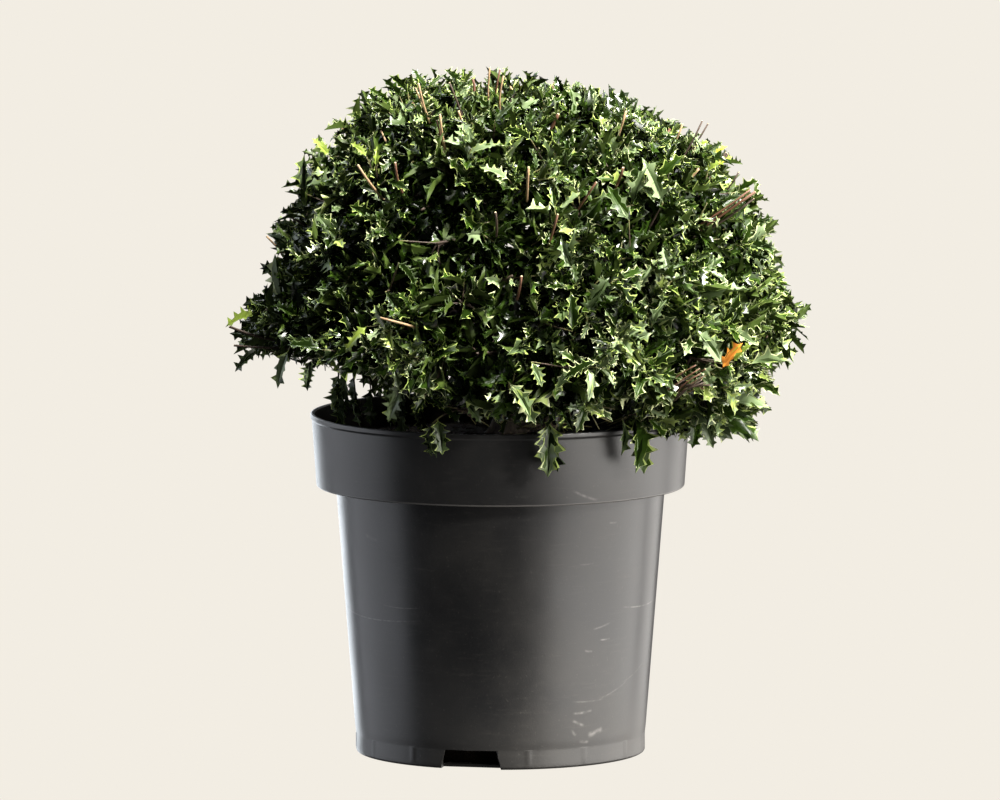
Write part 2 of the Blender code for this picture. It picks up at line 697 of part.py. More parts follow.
def make_mass(name, headings, limbs, leaf, green):
    """One mass of foliage: a stem that goes on from its bough, twigs, leaves and the core they stand out of."""
    heading = headings[name]
    bough_end = limbs[name][0][-1]
    bough_along = (limbs[name][0][-1] - limbs[name][0][-2]).normalized()
    all_limbs = list(limbs.values())
    chance = random.Random(f"{name}{SHOOT_SEED}")

    def twig_fits(point):
        return (
            within_mass(point, name, headings, MASS_MARGIN)
            and clear_of_pot(point, RIM_CLEARANCE)
            and clear_of_limbs(point, all_limbs, BOUGH_CLEARANCE)
        )

    def leaf_fits(point):
        return LEAF_FLOOR_SHARE < share_of(point) < LEAF_TIP_SHARE and twig_fits(point)

    def spray_fits(point):
        outside = math.hypot(point.x, point.y) < SPRAY_OUTER_RADIUS and point.z > SPRAY_FLOOR
        return outside and twig_fits(point)

    hub = crown_point(heading, HUB_SHARE)
    stem_foot = bough_end + bough_along * GAP
    pieces = bpy.data.collections.new(f"pieces_{name}")
    bpy.context.scene.collection.children.link(pieces)

    def grow(line, first_radius, last_radius):
        """Adds a twig where it fits, and gives its mesh."""
        mesh = limb_mesh("twig", line, blended(first_radius, last_radius, len(line)), TWIG_SIDES)
        if all(twig_fits(vertex.co) for vertex in mesh.vertices):
            add_object("twig", mesh, None, pieces)
            return mesh
        return None

    stem_line = [stem_foot, stem_foot + bough_along * BOUGH_TIP_RADIUS, hub]
    stem = limb_mesh("stem", stem_line, [BOUGH_TIP_RADIUS] * 3, BOUGH_SIDES)
    add_object("stem", stem, None, pieces)
    branches = []
    for direction in even_directions(BRANCHES, 0.0, SHOOT_SEED):
        end = crown_point(direction, BRANCH_SHARE)
        if mass_of(end, headings) == name:
            fork = hub.lerp(stem_foot, FORK_DEPTH)
            line = [fork, fork.lerp(end, 0.5) + heading * BRANCH_ARCH, end]
            if grow(line, HUB_RADIUS, BRANCH_RADIUS):
                branches.append(line)
    shoots, sprays = [], []
    for direction in even_directions(SHOOTS, SHOOT_JITTER, SHOOT_SEED):
        tip = crown_point(direction, SHOOT_SHARE)
        if mass_of(tip, headings) != name:
            continue
        fork = twig_from(tip, branches)
        line = [fork, fork.lerp(tip, 0.5), tip]
        mesh = grow(line, SHOOT_RADIUS, SHOOT_TIP_RADIUS)
        if mesh:
            shoots.append((line, mesh))
    for bearing in SPRAY_BEARINGS:
        outward = compass(bearing)
        tip = outward * (RIM_RADIUS + SPRAY_OUT) + Vector((0.0, 0.0, POT_HEIGHT + SPRAY_ABOVE))
        if mass_of(tip, headings) != name:
            continue
        fork = twig_from(tip, branches)
        line = [fork, fork.lerp(tip, 0.6) + Vector((0.0, 0.0, SPRAY_ARCH)), tip]
        mesh = grow(line, SHOOT_RADIUS, SHOOT_TIP_RADIUS)
        if mesh:
            sprays.append((line, mesh, outward))
    core = core_mesh(name, headings)
    placed = [shape_of(core)]
    twigs = {id(mesh): shape_of(mesh) for _, mesh, *_ in shoots + sprays}
    for line, mesh, *outward in sprays + shoots:
        others = placed + [shape for key, shape in twigs.items() if key != id(mesh)]
        before = len(others)
        if outward:
            frames = spray_leaves(leaf, line, outward[0], spray_fits, others)
        else:
            frames = shoot_leaves(leaf, line, chance.uniform(0.0, math.pi), leaf_fits, others)
        placed += others[before:]
        for frame in frames:
            add_object("leaf", leaf, None, pieces).matrix_world = frame
    bpy.context.view_layer.update()
    mass = add_object(f"foliage_{name}", core, green)
    mass.data = joined_mesh(mass, pieces)
    return mass


def main():
    clear_scene()
    bark = make_material("bark", BARK)
    green = make_material("foliage", FOLIAGE)
    make_pot()
    make_soil()
    make_trunk(bark)
    headings = mass_headings()
    limbs = make_boughs(headings, bark)
    leaf = leaf_mesh()
    for name in headings:
        make_mass(name, headings, limbs, leaf, green)


main()
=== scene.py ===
"""Goshiki holly olive, clipped to a dome and growing in a round nursery pot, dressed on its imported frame."""

import math
import random

import bmesh
import bpy
import numpy as np
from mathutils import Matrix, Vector, noise


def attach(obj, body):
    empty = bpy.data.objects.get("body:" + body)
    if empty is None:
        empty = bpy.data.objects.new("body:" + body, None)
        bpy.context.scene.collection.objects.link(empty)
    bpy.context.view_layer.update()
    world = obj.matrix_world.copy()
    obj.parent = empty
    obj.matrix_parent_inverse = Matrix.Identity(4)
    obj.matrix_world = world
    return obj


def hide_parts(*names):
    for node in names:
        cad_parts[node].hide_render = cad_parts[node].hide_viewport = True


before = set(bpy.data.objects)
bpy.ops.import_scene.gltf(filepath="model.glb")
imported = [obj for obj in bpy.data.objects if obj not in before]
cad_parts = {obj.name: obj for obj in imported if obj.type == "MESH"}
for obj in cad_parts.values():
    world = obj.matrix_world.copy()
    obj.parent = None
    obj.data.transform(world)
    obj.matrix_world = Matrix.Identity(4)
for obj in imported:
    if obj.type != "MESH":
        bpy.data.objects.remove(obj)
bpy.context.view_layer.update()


# The pot: a nursery container moulded in one piece from black polypropylene. A deep collar with a thin
# lip stiffens its mouth, faint ribs run up its foot band, and three notches drain it at the ground.
POT_HEIGHT = 0.340
RIM_RADIUS = 0.190
LIP_HEIGHT = 0.0045
LIP_PROUD = 0.0015
COLLAR_FOOT = POT_HEIGHT - 0.0725
COLLAR_FOOT_RADIUS = 0.184
BODY_TOP_RADIUS = 0.1645
FOOT_RADIUS = 0.1447
FOOT_CORNER = 0.003
FOOT_BAND_HEIGHT = 0.020
FOOT_BAND_INSET = 0.0004
FOOT_BAND_SLOPE = 0.006
WALL = 0.0025
BASE_THICKNESS = 0.003
POT_SEGMENTS = 360
RIB_COUNT = 15
RIB_FIRST_BEARING = -79.0
RIB_PROUD = 0.0007
RIB_HALF_ANGLE = 1.1
NOTCH_COUNT = 3
NOTCH_FIRST_BEARING = -102.0
NOTCH_HEIGHT = 0.019
NOTCH_FOOT_WIDTH = 0.062
NOTCH_TOP_WIDTH = 0.052
NOTCH_DEPTH = 0.018
# A painted highlight: a pale band along the collar's lower edge stands in for the light that its rounded edge
# catches
PAINTED_HIGHLIGHT_BAND = 0.0009
PAINTED_HIGHLIGHT_PALENESS = 0.60
CLEAN_PLASTIC = (0.017, 0.017, 0.018, 1.0)
# The colour of dust, which also paints the collar lighter as painted light
DUSTY_AND_PAINTED_LIT_PLASTIC = (0.060, 0.056, 0.051, 1.0)
# The scratches' pale colour, which also paints the highlight along the collar's lower edge
SCRATCH_AND_HIGHLIGHT_PLASTIC = (0.20, 0.19, 0.18, 1.0)

# Each scratch or rubbed mark on the pot: bearing in degrees and height of its two ends, and its half
# width, in millimetres, and how pale it is
SCRATCHES = (
    (-146.4, 228, -138.9, 223.4, 1.1, 0.3), (-138.2, 158.6, -121, 159.1, 0.4, 0.6),
    (-169.5, 143.7, -121.7, 143.8, 0.45, 0.75), (-67.5, 281.6, -58.6, 270, 0.8, 0.7),
    (-60.6, 204.1, -54.6, 204.4, 0.4, 0.6), (-48.6, 243.9, -44.8, 243.5, 0.6, 0.5),
    (-38.4, 154.8, -11.8, 153.2, 0.45, 0.9), (-53.3, 137.3, -45.1, 142.7, 0.6, 0.45),
    (-49.8, 126.3, -45.1, 126.6, 0.5, 1), (-56.9, 117.1, -53.3, 115.4, 0.7, 0.6),
    (-60.9, 65.4, -47.1, 65.5, 0.5, 0.5), (-48.2, 65.7, -33.4, 80, 0.5, 0.35),
    (-36, 78.2, -19.7, 95, 0.5, 0.25), (-60.7, 53.7, -52.4, 55.4, 0.8, 0.8),
    (-61.2, 47.7, -55.9, 40.8, 0.9, 0.7), (-53.3, 30.6, -46.3, 35.9, 1.6, 0.9),
    (-61.6, 38.6, -59.2, 31.6, 1, 0.6), (-57.5, 25.8, -53.2, 24.1, 1, 0.6), (35, 150, 62, 141, 0.45, 0.7),
    (96, 90, 118, 99, 0.5, 0.8), (150, 205, 171, 198, 0.4, 0.6),
)
SCRATCH_FADE = 2.2
SCRATCH_FULL_SHARE = 0.6
SCRATCH_BOW = 0.06
SCRATCH_DEEPEST = -0.03


def metres(*millimetres):
    return [length / 1000.0 for length in millimetres]


def ride_root(piece, slot, *nodes):
    """Fixes a piece to the plant and hides the solids that it stands for."""
    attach(piece, "root")
    if nodes:
        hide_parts(*nodes)


def make_object(name, mesh, *materials):
    for material in materials:
        mesh.materials.append(material)
    made = bpy.data.objects.new(name, mesh)
    bpy.context.scene.collection.objects.link(made)
    return made


def new_material(name, colour, roughness, **sockets):
    """A Principled material with its plain values set on the shader's own sockets."""
    material = bpy.data.materials.new(name)
    material.use_nodes = True
    shader = material.node_tree.nodes["Principled BSDF"]
    shader.inputs["Base Color"].default_value = (*colour, 1.0)
    shader.inputs["Roughness"].default_value = roughness
    for socket, value in sockets.items():
        shader.inputs[socket.replace("_", " ")].default_value = value
    return material


def drive(material, **patterns):
    """Links patterns to the shader's sockets."""
    shader = material.node_tree.nodes["Principled BSDF"]
    for socket, pattern in patterns.items():
        material.node_tree.links.new(pattern, shader.inputs[socket.replace("_", " ")])


def add_node(material, kind, links=None, output=0, **settings):
    """A node's output. links maps an input, by name or place, to another output or a plain value."""
    tree = material.node_tree
    node = tree.nodes.new(kind)
    for setting, value in settings.items():
        setattr(node, setting, value)
    for key, source in (links or {}).items():
        if isinstance(source, bpy.types.NodeSocket):
            tree.links.new(source, node.inputs[key])
        else:
            node.inputs[key].default_value = source
    return node.outputs[output]


def object_place(material):
    """Where a point lies on the piece itself."""
    return add_node(material, "ShaderNodeTexCoord", output="Object")


def maths(material, operation, *values):
    return add_node(material, "ShaderNodeMath", dict(enumerate(values)), operation=operation)


def noise_at(material, place, scale, detail, roughness=0.5):
    sockets = {"Vector": place, "Scale": scale, "Detail": detail, "Roughness": roughness}
    return add_node(material, "ShaderNodeTexNoise", sockets, output="Fac")


def stretched_place(material, place, scale):
    return add_node(material, "ShaderNodeMapping", {"Vector": place, "Scale": scale})


def ranged(material, value, low, high, at_low, at_high):
    """A value that goes from at_low to at_high while the pattern goes from low to high."""
    sockets = {"Value": value, "From Min": low, "From Max": high, "To Min": at_low, "To Max": at_high}
    return add_node(material, "ShaderNodeMapRange", sockets)


def mixed(material, share, first, second):
    sockets = {"Factor": share, 6: first, 7: second}
    return add_node(material, "ShaderNodeMix", sockets, output=2, data_type="RGBA")


def bumped(material, pattern, strength, distance):
    sockets = {"Strength": strength, "Distance": distance, "Height": pattern}
    return add_node(material, "ShaderNodeBump", sockets)


def bearing_point(bearing, radius, height):
    turn = math.radians(bearing)
    return Vector((radius * math.cos(turn), radius * math.sin(turn), height))


def body_radius(height):
    """The pot body's outer radius at a height, between its foot band and its collar."""
    share = (height - FOOT_BAND_HEIGHT) / (COLLAR_FOOT - FOOT_BAND_HEIGHT)
    return FOOT_RADIUS + FOOT_BAND_INSET + (BODY_TOP_RADIUS - FOOT_RADIUS - FOOT_BAND_INSET) * share


def rounded_outline(corners, steps=4):
    """A profile of (radius, height, rounding) corners, each rounding drawn as a short curve."""
    outline = [corners[0][:2]]
    for before, corner, after in zip(corners, corners[1:], corners[2:]):
        here = Vector(corner[:2])
        to_before, to_after = Vector(before[:2]) - here, Vector(after[:2]) - here
        cut = min(corner[2], 0.45 * to_before.length, 0.45 * to_after.length)
        start, end = here + to_before.normalized() * cut, here + to_after.normalized() * cut
        if cut == 0.0:
            outline.append(tuple(here))
            continue
        for k in range(steps + 1):
            t = k / steps
            outline.append(tuple(start * (1 - t) ** 2 + here * 2 * t * (1 - t) + end * t * t))
    outline.append(corners[-1][:2])
    return outline


def turned_mesh(name, outline, segments, radius_at=None):
    """A closed mesh turned about Z. The outline runs from the axis to the axis."""
    points = [(0.0, 0.0, outline[0][1])]
    for radius, height in outline[1:-1]:
        for k in range(segments):
            turn = math.tau * k / segments
            reach = radius_at(radius, height, math.degrees(turn)) if radius_at else radius
            points.append((reach * math.cos(turn), reach * math.sin(turn), height))
    points.append((0.0, 0.0, outline[-1][1]))
    last, rings = len(points) - 1, len(outline) - 2
    top_ring = 1 + (rings - 1) * segments
    faces = []
    for k in range(segments):
        after = (k + 1) % segments
        faces.append((0, 1 + after, 1 + k))
        faces.append((last, top_ring + k, top_ring + after))
        for ring in range(rings - 1):
            low, high = 1 + ring * segments, 1 + (ring + 1) * segments
            faces.append((low + k, low + after, high + after, high + k))
    mesh = bpy.data.meshes.new(name)
    mesh.from_pydata(points, [], faces)
    mesh.shade_smooth()
    return mesh


def foot_ribs(radius, height, bearing):
    """The outer radius of the foot band, raised at its ribs."""
    if height > FOOT_BAND_HEIGHT - 0.001 or height < FOOT_CORNER or radius < FOOT_RADIUS - 0.0005:
        return radius
    pitch = 360.0 / RIB_COUNT
    off = abs((bearing - RIB_FIRST_BEARING + pitch / 2) % pitch - pitch / 2)
    return radius + RIB_PROUD * max(0.0, 1.0 - (off / RIB_HALF_ANGLE) ** 2)


def cut_notches(pot):
    """Opens the drain notches through the foot of the wall, each with sloping sides."""
    for k in range(NOTCH_COUNT):
        bearing = NOTCH_FIRST_BEARING + 360.0 * k / NOTCH_COUNT
        sideways = bearing_point(bearing + 90.0, 1.0, 0.0)
        points = []
        for radius in (FOOT_RADIUS - NOTCH_DEPTH, FOOT_RADIUS + WALL):
            for height, width in ((-WALL, NOTCH_FOOT_WIDTH), (NOTCH_HEIGHT, NOTCH_TOP_WIDTH)):
                for side in (-0.5, 0.5):
                    points.append(bearing_point(bearing, radius, height) + sideways * side * width)
        cutter_mesh = bpy.data.meshes.new("notch")
        faces = [(0, 1, 3, 2), (4, 6, 7, 5), (0, 4, 5, 1), (2, 3, 7, 6), (0, 2, 6, 4), (1, 5, 7, 3)]
        cutter_mesh.from_pydata(points, [], faces)
        working = bmesh.new()
        working.from_mesh(cutter_mesh)
        bmesh.ops.recalc_face_normals(working, faces=working.faces)
        working.to_mesh(cutter_mesh)
        working.free()
        cutter = make_object("notch", cutter_mesh)
        modifier = pot.modifiers.new("notch", "BOOLEAN")
        modifier.operation, modifier.solver, modifier.object = "DIFFERENCE", "EXACT", cutter
        whole = bpy.data.meshes.new_from_object(pot.evaluated_get(bpy.context.evaluated_depsgraph_get()))
        pot.modifiers.clear()
        pot.data = whole
        bpy.data.objects.remove(cutter)


def scratch_mask(material, place):
    """A value that is as high as each scratch is pale along it, and 0 off it."""
    total = 0.0
    for first_bearing, first_height, last_bearing, last_height, half_width, paleness in SCRATCHES:
        first_height, last_height, half_width = metres(first_height, last_height, half_width)
        radius = BODY_TOP_RADIUS if first_height < COLLAR_FOOT else RIM_RADIUS
        middle_bearing, middle_height = (first_bearing + last_bearing) / 2, (first_height + last_height) / 2
        middle = bearing_point(middle_bearing, radius, middle_height)
        first = bearing_point(first_bearing, radius, first_height)
        along = bearing_point(last_bearing, radius, last_height) - first
        outward = bearing_point(middle_bearing, 1.0, 0.0)
        across = along.cross(outward).normalized()
        half_length = along.length / 2
        offset = add_node(material, "ShaderNodeVectorMath", {0: place, 1: middle}, operation="SUBTRACT")
        run, bow, front = [
            add_node(material, "ShaderNodeVectorMath", {0: offset, 1: axis}, output="Value",
                     operation="DOT_PRODUCT")
            for axis in (along.normalized(), across, outward)
        ]
        squared = maths(material, "POWER", run, 2.0)
        off = maths(material, "MULTIPLY_ADD", squared, SCRATCH_BOW / half_length, bow)
        thin = ranged(material, maths(material, "ABSOLUTE", off), 0.0, half_width * SCRATCH_FADE, 1.0, 0.0)
        extent = maths(material, "ABSOLUTE", run)
        short = ranged(material, extent, half_length * SCRATCH_FULL_SHARE, half_length, paleness, 0.0)
        near = maths(material, "GREATER_THAN", front, SCRATCH_DEEPEST)
        each = maths(material, "MULTIPLY", maths(material, "MULTIPLY", thin, short), near)
        total = maths(material, "MAXIMUM", total, each)
    return total


def black_polypropylene():
    """Moulded plastic that has stood outdoors: satin, with dried splashes, rubbed patches and scratches.

    Its collar is painted lighter as painted light, with a painted highlight along its lower edge.
    """
    material = new_material("black_polypropylene", (0.03, 0.03, 0.031), 0.4, Specular_IOR_Level=0.7)
    place = object_place(material)
    height = add_node(material, "ShaderNodeSeparateXYZ", {0: place}, "Z")
    streaked = stretched_place(material, place, (1.0, 1.0, 9.0))
    patches = noise_at(material, place, scale=9.0, detail=5.0, roughness=0.6)
    streaks = noise_at(material, streaked, scale=26.0, detail=6.0, roughness=0.7)
    specks = noise_at(material, place, scale=420.0, detail=2.0)
    dust_and_painted_light = ranged(material, patches, 0.42, 0.78, 0.0, 0.55)
    for layer in (
        ranged(material, height, 0.0, 0.070, 0.38, 0.0),
        # Painted light: the whole collar is made lighter, standing in for the light that it loses under the
        # crown
        ranged(material, height, 0.262, 0.275, 0.0, 0.18),
        ranged(material, streaks, 0.56, 0.80, 0.0, 0.5),
        ranged(material, specks, 0.66, 0.74, 0.0, 0.5),
    ):
        dust_and_painted_light = maths(material, "ADD", dust_and_painted_light, layer)
    dust_and_painted_light = maths(material, "MINIMUM", dust_and_painted_light, 1.0)
    worn = ranged(material, noise_at(material, place, scale=160.0, detail=3.0), 0.35, 0.6, 0.15, 1.0)
    scratches_and_highlight = maths(material, "MULTIPLY", scratch_mask(material, place), worn)
    # Painted highlight: a pale band along the collar's lower edge, mixed in with the scratches
    edge = maths(material, "COMPARE", height, COLLAR_FOOT + PAINTED_HIGHLIGHT_BAND, PAINTED_HIGHLIGHT_BAND)
    scratches_and_highlight = maths(material, "MAXIMUM", scratches_and_highlight, maths(material, "MULTIPLY", edge, PAINTED_HIGHLIGHT_PALENESS))
    tint = mixed(material, dust_and_painted_light, CLEAN_PLASTIC, DUSTY_AND_PAINTED_LIT_PLASTIC)
    grain = noise_at(material, place, scale=700.0, detail=2.0)
    drive(material, Base_Color=mixed(material, scratches_and_highlight, tint, SCRATCH_AND_HIGHLIGHT_PLASTIC),
          Roughness=ranged(material, dust_and_painted_light, 0.0, 1.0, 0.28, 0.46),
          Normal=bumped(material, grain, strength=0.12, distance=0.0004))
    return material


collar_top_radius = RIM_RADIUS - LIP_PROUD
band_top = FOOT_BAND_HEIGHT + FOOT_BAND_SLOPE
pot_outline = rounded_outline([
    (0.0, 0.0, 0.0),
    (0.090, 0.0, 0.0),
    (FOOT_RADIUS, 0.0, FOOT_CORNER),
    (FOOT_RADIUS, 0.006, 0.0),
    (FOOT_RADIUS, 0.013, 0.0),
    (FOOT_RADIUS, FOOT_BAND_HEIGHT - 0.001, 0.0010),
    (body_radius(band_top), band_top, 0.0030),
    (body_radius(0.10), 0.10, 0.0),
    (body_radius(0.18), 0.18, 0.0),
    (BODY_TOP_RADIUS, COLLAR_FOOT, 0.0012),
    (COLLAR_FOOT_RADIUS, COLLAR_FOOT, 0.0016),
    (collar_top_radius, POT_HEIGHT - LIP_HEIGHT - LIP_PROUD, 0.0012),
    (RIM_RADIUS, POT_HEIGHT - LIP_HEIGHT, 0.0012),
    (RIM_RADIUS, POT_HEIGHT, 0.0014),
    (collar_top_radius - WALL, POT_HEIGHT, 0.0010),
    (COLLAR_FOOT_RADIUS - WALL, COLLAR_FOOT + WALL, 0.0020),
    (BODY_TOP_RADIUS - WALL, COLLAR_FOOT + WALL, 0.0020),
    (body_radius(BASE_THICKNESS + 0.005) - WALL, BASE_THICKNESS + 0.005, 0.0),
    (body_radius(BASE_THICKNESS) - WALL - 0.005, BASE_THICKNESS, 0.0),
    (0.0, BASE_THICKNESS, 0.0),
])
pot_mesh = turned_mesh("pot_shell", pot_outline, POT_SEGMENTS, foot_ribs)
# Painted shade: the pot's inner wall is near-black, standing in for the shade inside its mouth
inner_wall_painted_shade = new_material("inner_wall_painted_shade", (0.010, 0.008, 0.007), 0.85, Specular_IOR_Level=0.25)
pot_shell = make_object("pot_shell", pot_mesh, black_polypropylene(), inner_wall_painted_shade)
# Faces that look inwards, below the rim, take the painted shade
for face in pot_mesh.polygons:
    outward = Vector((face.center.x, face.center.y, 0.0))
    face.material_index = int(face.normal.dot(outward) < -0.001 and face.center.z < POT_HEIGHT - 0.002)
cut_notches(pot_shell)
ride_root(pot_shell, "pot_plastic", "pot")


# The soil: a peat-based potting mix that fills the pot to two fingers under the rim. Its fibres and
# crumbs lie loose on top, and the roots hold the rest together in the pot's own shape.
SOIL_TOP = 0.3195
SOIL_EDGE = 0.311
SOIL_RADIUS = 0.183
SOIL_FLAT_RADIUS = 0.040
SOIL_ROUGH_RADIUS = 0.180
SOIL_ROUGH_FADE = 0.012
SOIL_GAP = 0.0003
SOIL_SEGMENTS = 220
SOIL_RINGS = 46
SOIL_RELIEF = 0.0030
CRUMB_COUNT = 1200
CRUMB_REACH = 0.181
CRUMB_SIZES = (0.0008, 0.0026)
CRUMB_SEED = 5
TRUNK_ACROSS = 0.010
FLARE_CLEARANCE = 0.027


def soil_height(x, y):
    """The height of the soil's surface: a low mound, clods and fine grains."""
    spread = max(0.0, math.hypot(x, y) - SOIL_FLAT_RADIUS) / (SOIL_RADIUS - SOIL_FLAT_RADIUS)
    clods = noise.fractal(Vector((x, y, 0.0)) * 55.0, 1.0, 2.1, 4)
    rough = clods + 0.5 * noise.noise(Vector((x, y, 3.0)) * 420.0)
    settle = min(1.0, max(0.0, (SOIL_ROUGH_RADIUS - math.hypot(x, y)) / SOIL_ROUGH_FADE))
    return SOIL_TOP - (SOIL_TOP - SOIL_EDGE) * spread + SOIL_RELIEF * (0.35 * settle * rough - 0.2)


def soil_mesh():
    gap = WALL + SOIL_GAP
    side = [
        (0.0, BASE_THICKNESS + SOIL_GAP), (0.118, BASE_THICKNESS + SOIL_GAP), (0.122, NOTCH_HEIGHT + WALL),
        (body_radius(0.036) - gap, 0.036), (body_radius(COLLAR_FOOT) - gap, COLLAR_FOOT + WALL + SOIL_GAP),
        (COLLAR_FOOT_RADIUS - gap, COLLAR_FOOT + WALL + SOIL_GAP), (0.1845, SOIL_EDGE),
    ]
    top = [(SOIL_RADIUS - SOIL_RADIUS * (k / SOIL_RINGS), SOIL_TOP) for k in range(SOIL_RINGS)]
    mesh = turned_mesh("soil_bed", side + top + [(0.0, SOIL_TOP)], SOIL_SEGMENTS)
    for vertex in mesh.vertices:
        if vertex.co.z > SOIL_EDGE + 0.0001:
            vertex.co.z = soil_height(vertex.co.x, vertex.co.y)
    return mesh


def two_colours(material, pattern, low, dark, high, light):
    """The dark colour up to one value of the pattern, the light one from another, and a blend between."""
    tree = material.node_tree
    ramp = tree.nodes.new("ShaderNodeValToRGB")
    tree.links.new(pattern, ramp.inputs["Fac"])
    for stop, position, colour in zip(ramp.color_ramp.elements, (low, high), (dark, light)):
        stop.position = position
        stop.color = (*colour, 1.0)
    return ramp.outputs["Color"]


def potting_mix():
    """Dark peat with fine fibres, paler where a clod stands up."""
    material = new_material("potting_mix", (0.012, 0.009, 0.007), 0.95, Specular_IOR_Level=0.12)
    place = object_place(material)
    clods = noise_at(material, place, scale=90.0, detail=8.0, roughness=0.75)
    grit = noise_at(material, place, scale=600.0, detail=4.0)
    colour = two_colours(material, clods, 0.35, (0.004, 0.003, 0.002), 0.72, (0.024, 0.016, 0.011))
    drive(material, Base_Color=colour, Normal=bumped(material, grit, strength=0.7, distance=0.002))
    return material


def crumb_mesh():
    """Loose crumbs and bits of fibre on the surface, each a small lump of its own shape."""
    chance = random.Random(CRUMB_SEED)
    working = bmesh.new()
    for _ in range(CRUMB_COUNT):
        radius, turn = CRUMB_REACH * math.sqrt(chance.random()), chance.uniform(0.0, math.tau)
        x, y = radius * math.cos(turn), radius * math.sin(turn)
        if math.hypot(x - TRUNK_ACROSS, y) < FLARE_CLEARANCE:
            continue
        size = chance.uniform(*CRUMB_SIZES)
        lump = bmesh.ops.create_icosphere(working, subdivisions=1, radius=size)["verts"]
        stretch = Vector((chance.uniform(0.6, 2.2), chance.uniform(0.6, 1.4), chance.uniform(0.4, 0.8)))
        heading = chance.uniform(0.0, math.tau)
        for vertex in lump:
            spot = vertex.co * chance.uniform(0.75, 1.15) * stretch
            vertex.co = Vector((
                x + spot.x * math.cos(heading) - spot.y * math.sin(heading),
                y + spot.x * math.sin(heading) + spot.y * math.cos(heading),
                soil_height(x, y) + spot.z,
            ))
    mesh = bpy.data.meshes.new("soil_crumbs")
    working.to_mesh(mesh)
    working.free()
    return mesh


peat = potting_mix()
ride_root(make_object("soil_bed", soil_mesh(), peat), "potting_soil", "soil")
ride_root(make_object("soil_crumbs", crumb_mesh(), peat), "potting_soil")


# The trunk: one short woody stem that comes out of the soil over its root flare, leans a little and
# carries every bough. Its bark is grey-brown, ridged along its length and knobbed where boughs leave.
TRUNK_FOOT = Vector((TRUNK_ACROSS, 0.0, SOIL_TOP + SOIL_GAP))
TRUNK_HEIGHT = 0.088
TRUNK_LEAN = Vector((0.010, 0.004, 0.0))
TRUNK_OUTLINE = (
    (0.0, 0.0235), (0.07, 0.0190), (0.18, 0.0160), (0.45, 0.0142), (0.75, 0.0122), (1.0, 0.0090),
)
TRUNK_SIDES = 48
TRUNK_RINGS = 56
TRUNK_BARK_SEED = 1.7
ROOT_RIDGES = 5
ROOT_RIDGE_DEPTH = 0.13
ROOT_RIDGE_TOP = 0.45


def trunk_point(height):
    """A point on the trunk's centre line, at a height above its foot."""
    share = height / TRUNK_HEIGHT
    return TRUNK_FOOT + TRUNK_LEAN * share * share + Vector((0.0, 0.0, height))


def bark_relief(angle, length, girth, seed):
    """How much the bark stands out, as a share of the limb's radius: long ridges, fine cracks and knobs."""
    ring = Vector((math.cos(angle), math.sin(angle), 0.0))
    ridges, cracks, knobs = [
        noise.noise(Vector((ring.x * around, ring.y * around, length * lengthwise + shift)))
        for around, lengthwise, shift in ((3.2, 26.0, seed), (7.0, 60.0, seed * 3.0), (1.2, 45.0, -seed))
    ]
    return 0.055 * ridges - 0.07 * abs(cracks) + 0.05 * max(0.0, knobs) * min(1.0, girth / 0.006)


def barked_limb(line, radii, sides, seed, shape=None):
    """Points and faces of a limb with bark relief along a line of points, closed at both ends."""
    points, faces = [], []
    across = None
    travelled = 0.0
    for k, (centre, radius) in enumerate(zip(line, radii)):
        along = (line[min(k + 1, len(line) - 1)] - line[max(k - 1, 0)]).normalized()
        if across is None:
            across = along.orthogonal().normalized()
        across = (across - along * across.dot(along)).normalized()
        other = along.cross(across)
        travelled += (centre - line[max(k - 1, 0)]).length
        for side in range(sides):
            angle = math.tau * side / sides
            reach = radius * (1.0 + bark_relief(angle, travelled, radius, seed))
            if shape:
                reach *= shape(k / (len(line) - 1), angle)
            points.append(centre + (across * math.cos(angle) + other * math.sin(angle)) * reach)
    last = (len(line) - 1) * sides
    for low in range(0, last, sides):
        for side in range(sides):
            after = (side + 1) % sides
            faces.append((low + side, low + after, low + sides + after, low + sides + side))
    points += [line[0], line[-1]]
    for side in range(sides):
        after = (side + 1) % sides
        faces.append((len(points) - 2, after, side))
        faces.append((len(points) - 1, last + side, last + after))
    return points, faces


def limb_object(name, limbs, material):
    """One object from several limbs' points and faces."""
    points, faces = [], []
    for limb_points, limb_faces in limbs:
        start = len(points)
        points += limb_points
        faces += [tuple(start + corner for corner in face) for face in limb_faces]
    mesh = bpy.data.meshes.new(name)
    mesh.from_pydata([tuple(p) for p in points], [], faces)
    mesh.shade_smooth()
    return make_object(name, mesh, material)


def grey_brown_bark():
    """Grey-brown bark with dark cracks drawn out along the limb."""
    material = new_material("grey_brown_bark", (0.11, 0.075, 0.05), 0.85)
    place = stretched_place(material, object_place(material), (1.0, 1.0, 0.3))
    fibres = noise_at(material, place, scale=320.0, detail=7.0, roughness=0.7)
    colour = two_colours(material, fibres, 0.32, (0.020, 0.014, 0.010), 0.70, (0.105, 0.080, 0.058))
    drive(material, Base_Color=colour, Normal=bumped(material, fibres, strength=0.6, distance=0.0008))
    return material


def trunk_radius(share):
    """The trunk's radius at a share of its height, from its outline."""
    for (low, low_radius), (high, high_radius) in zip(TRUNK_OUTLINE, TRUNK_OUTLINE[1:]):
        if share <= high:
            return low_radius + (high_radius - low_radius) * (share - low) / (high - low)
    return TRUNK_OUTLINE[-1][1]


def root_ridges(share, angle):
    """Ridges that run down into the roots: strongest at the foot, gone above the flare."""
    return 1.0 + ROOT_RIDGE_DEPTH * max(0.0, 1.0 - share / ROOT_RIDGE_TOP) * math.cos(ROOT_RIDGES * angle)


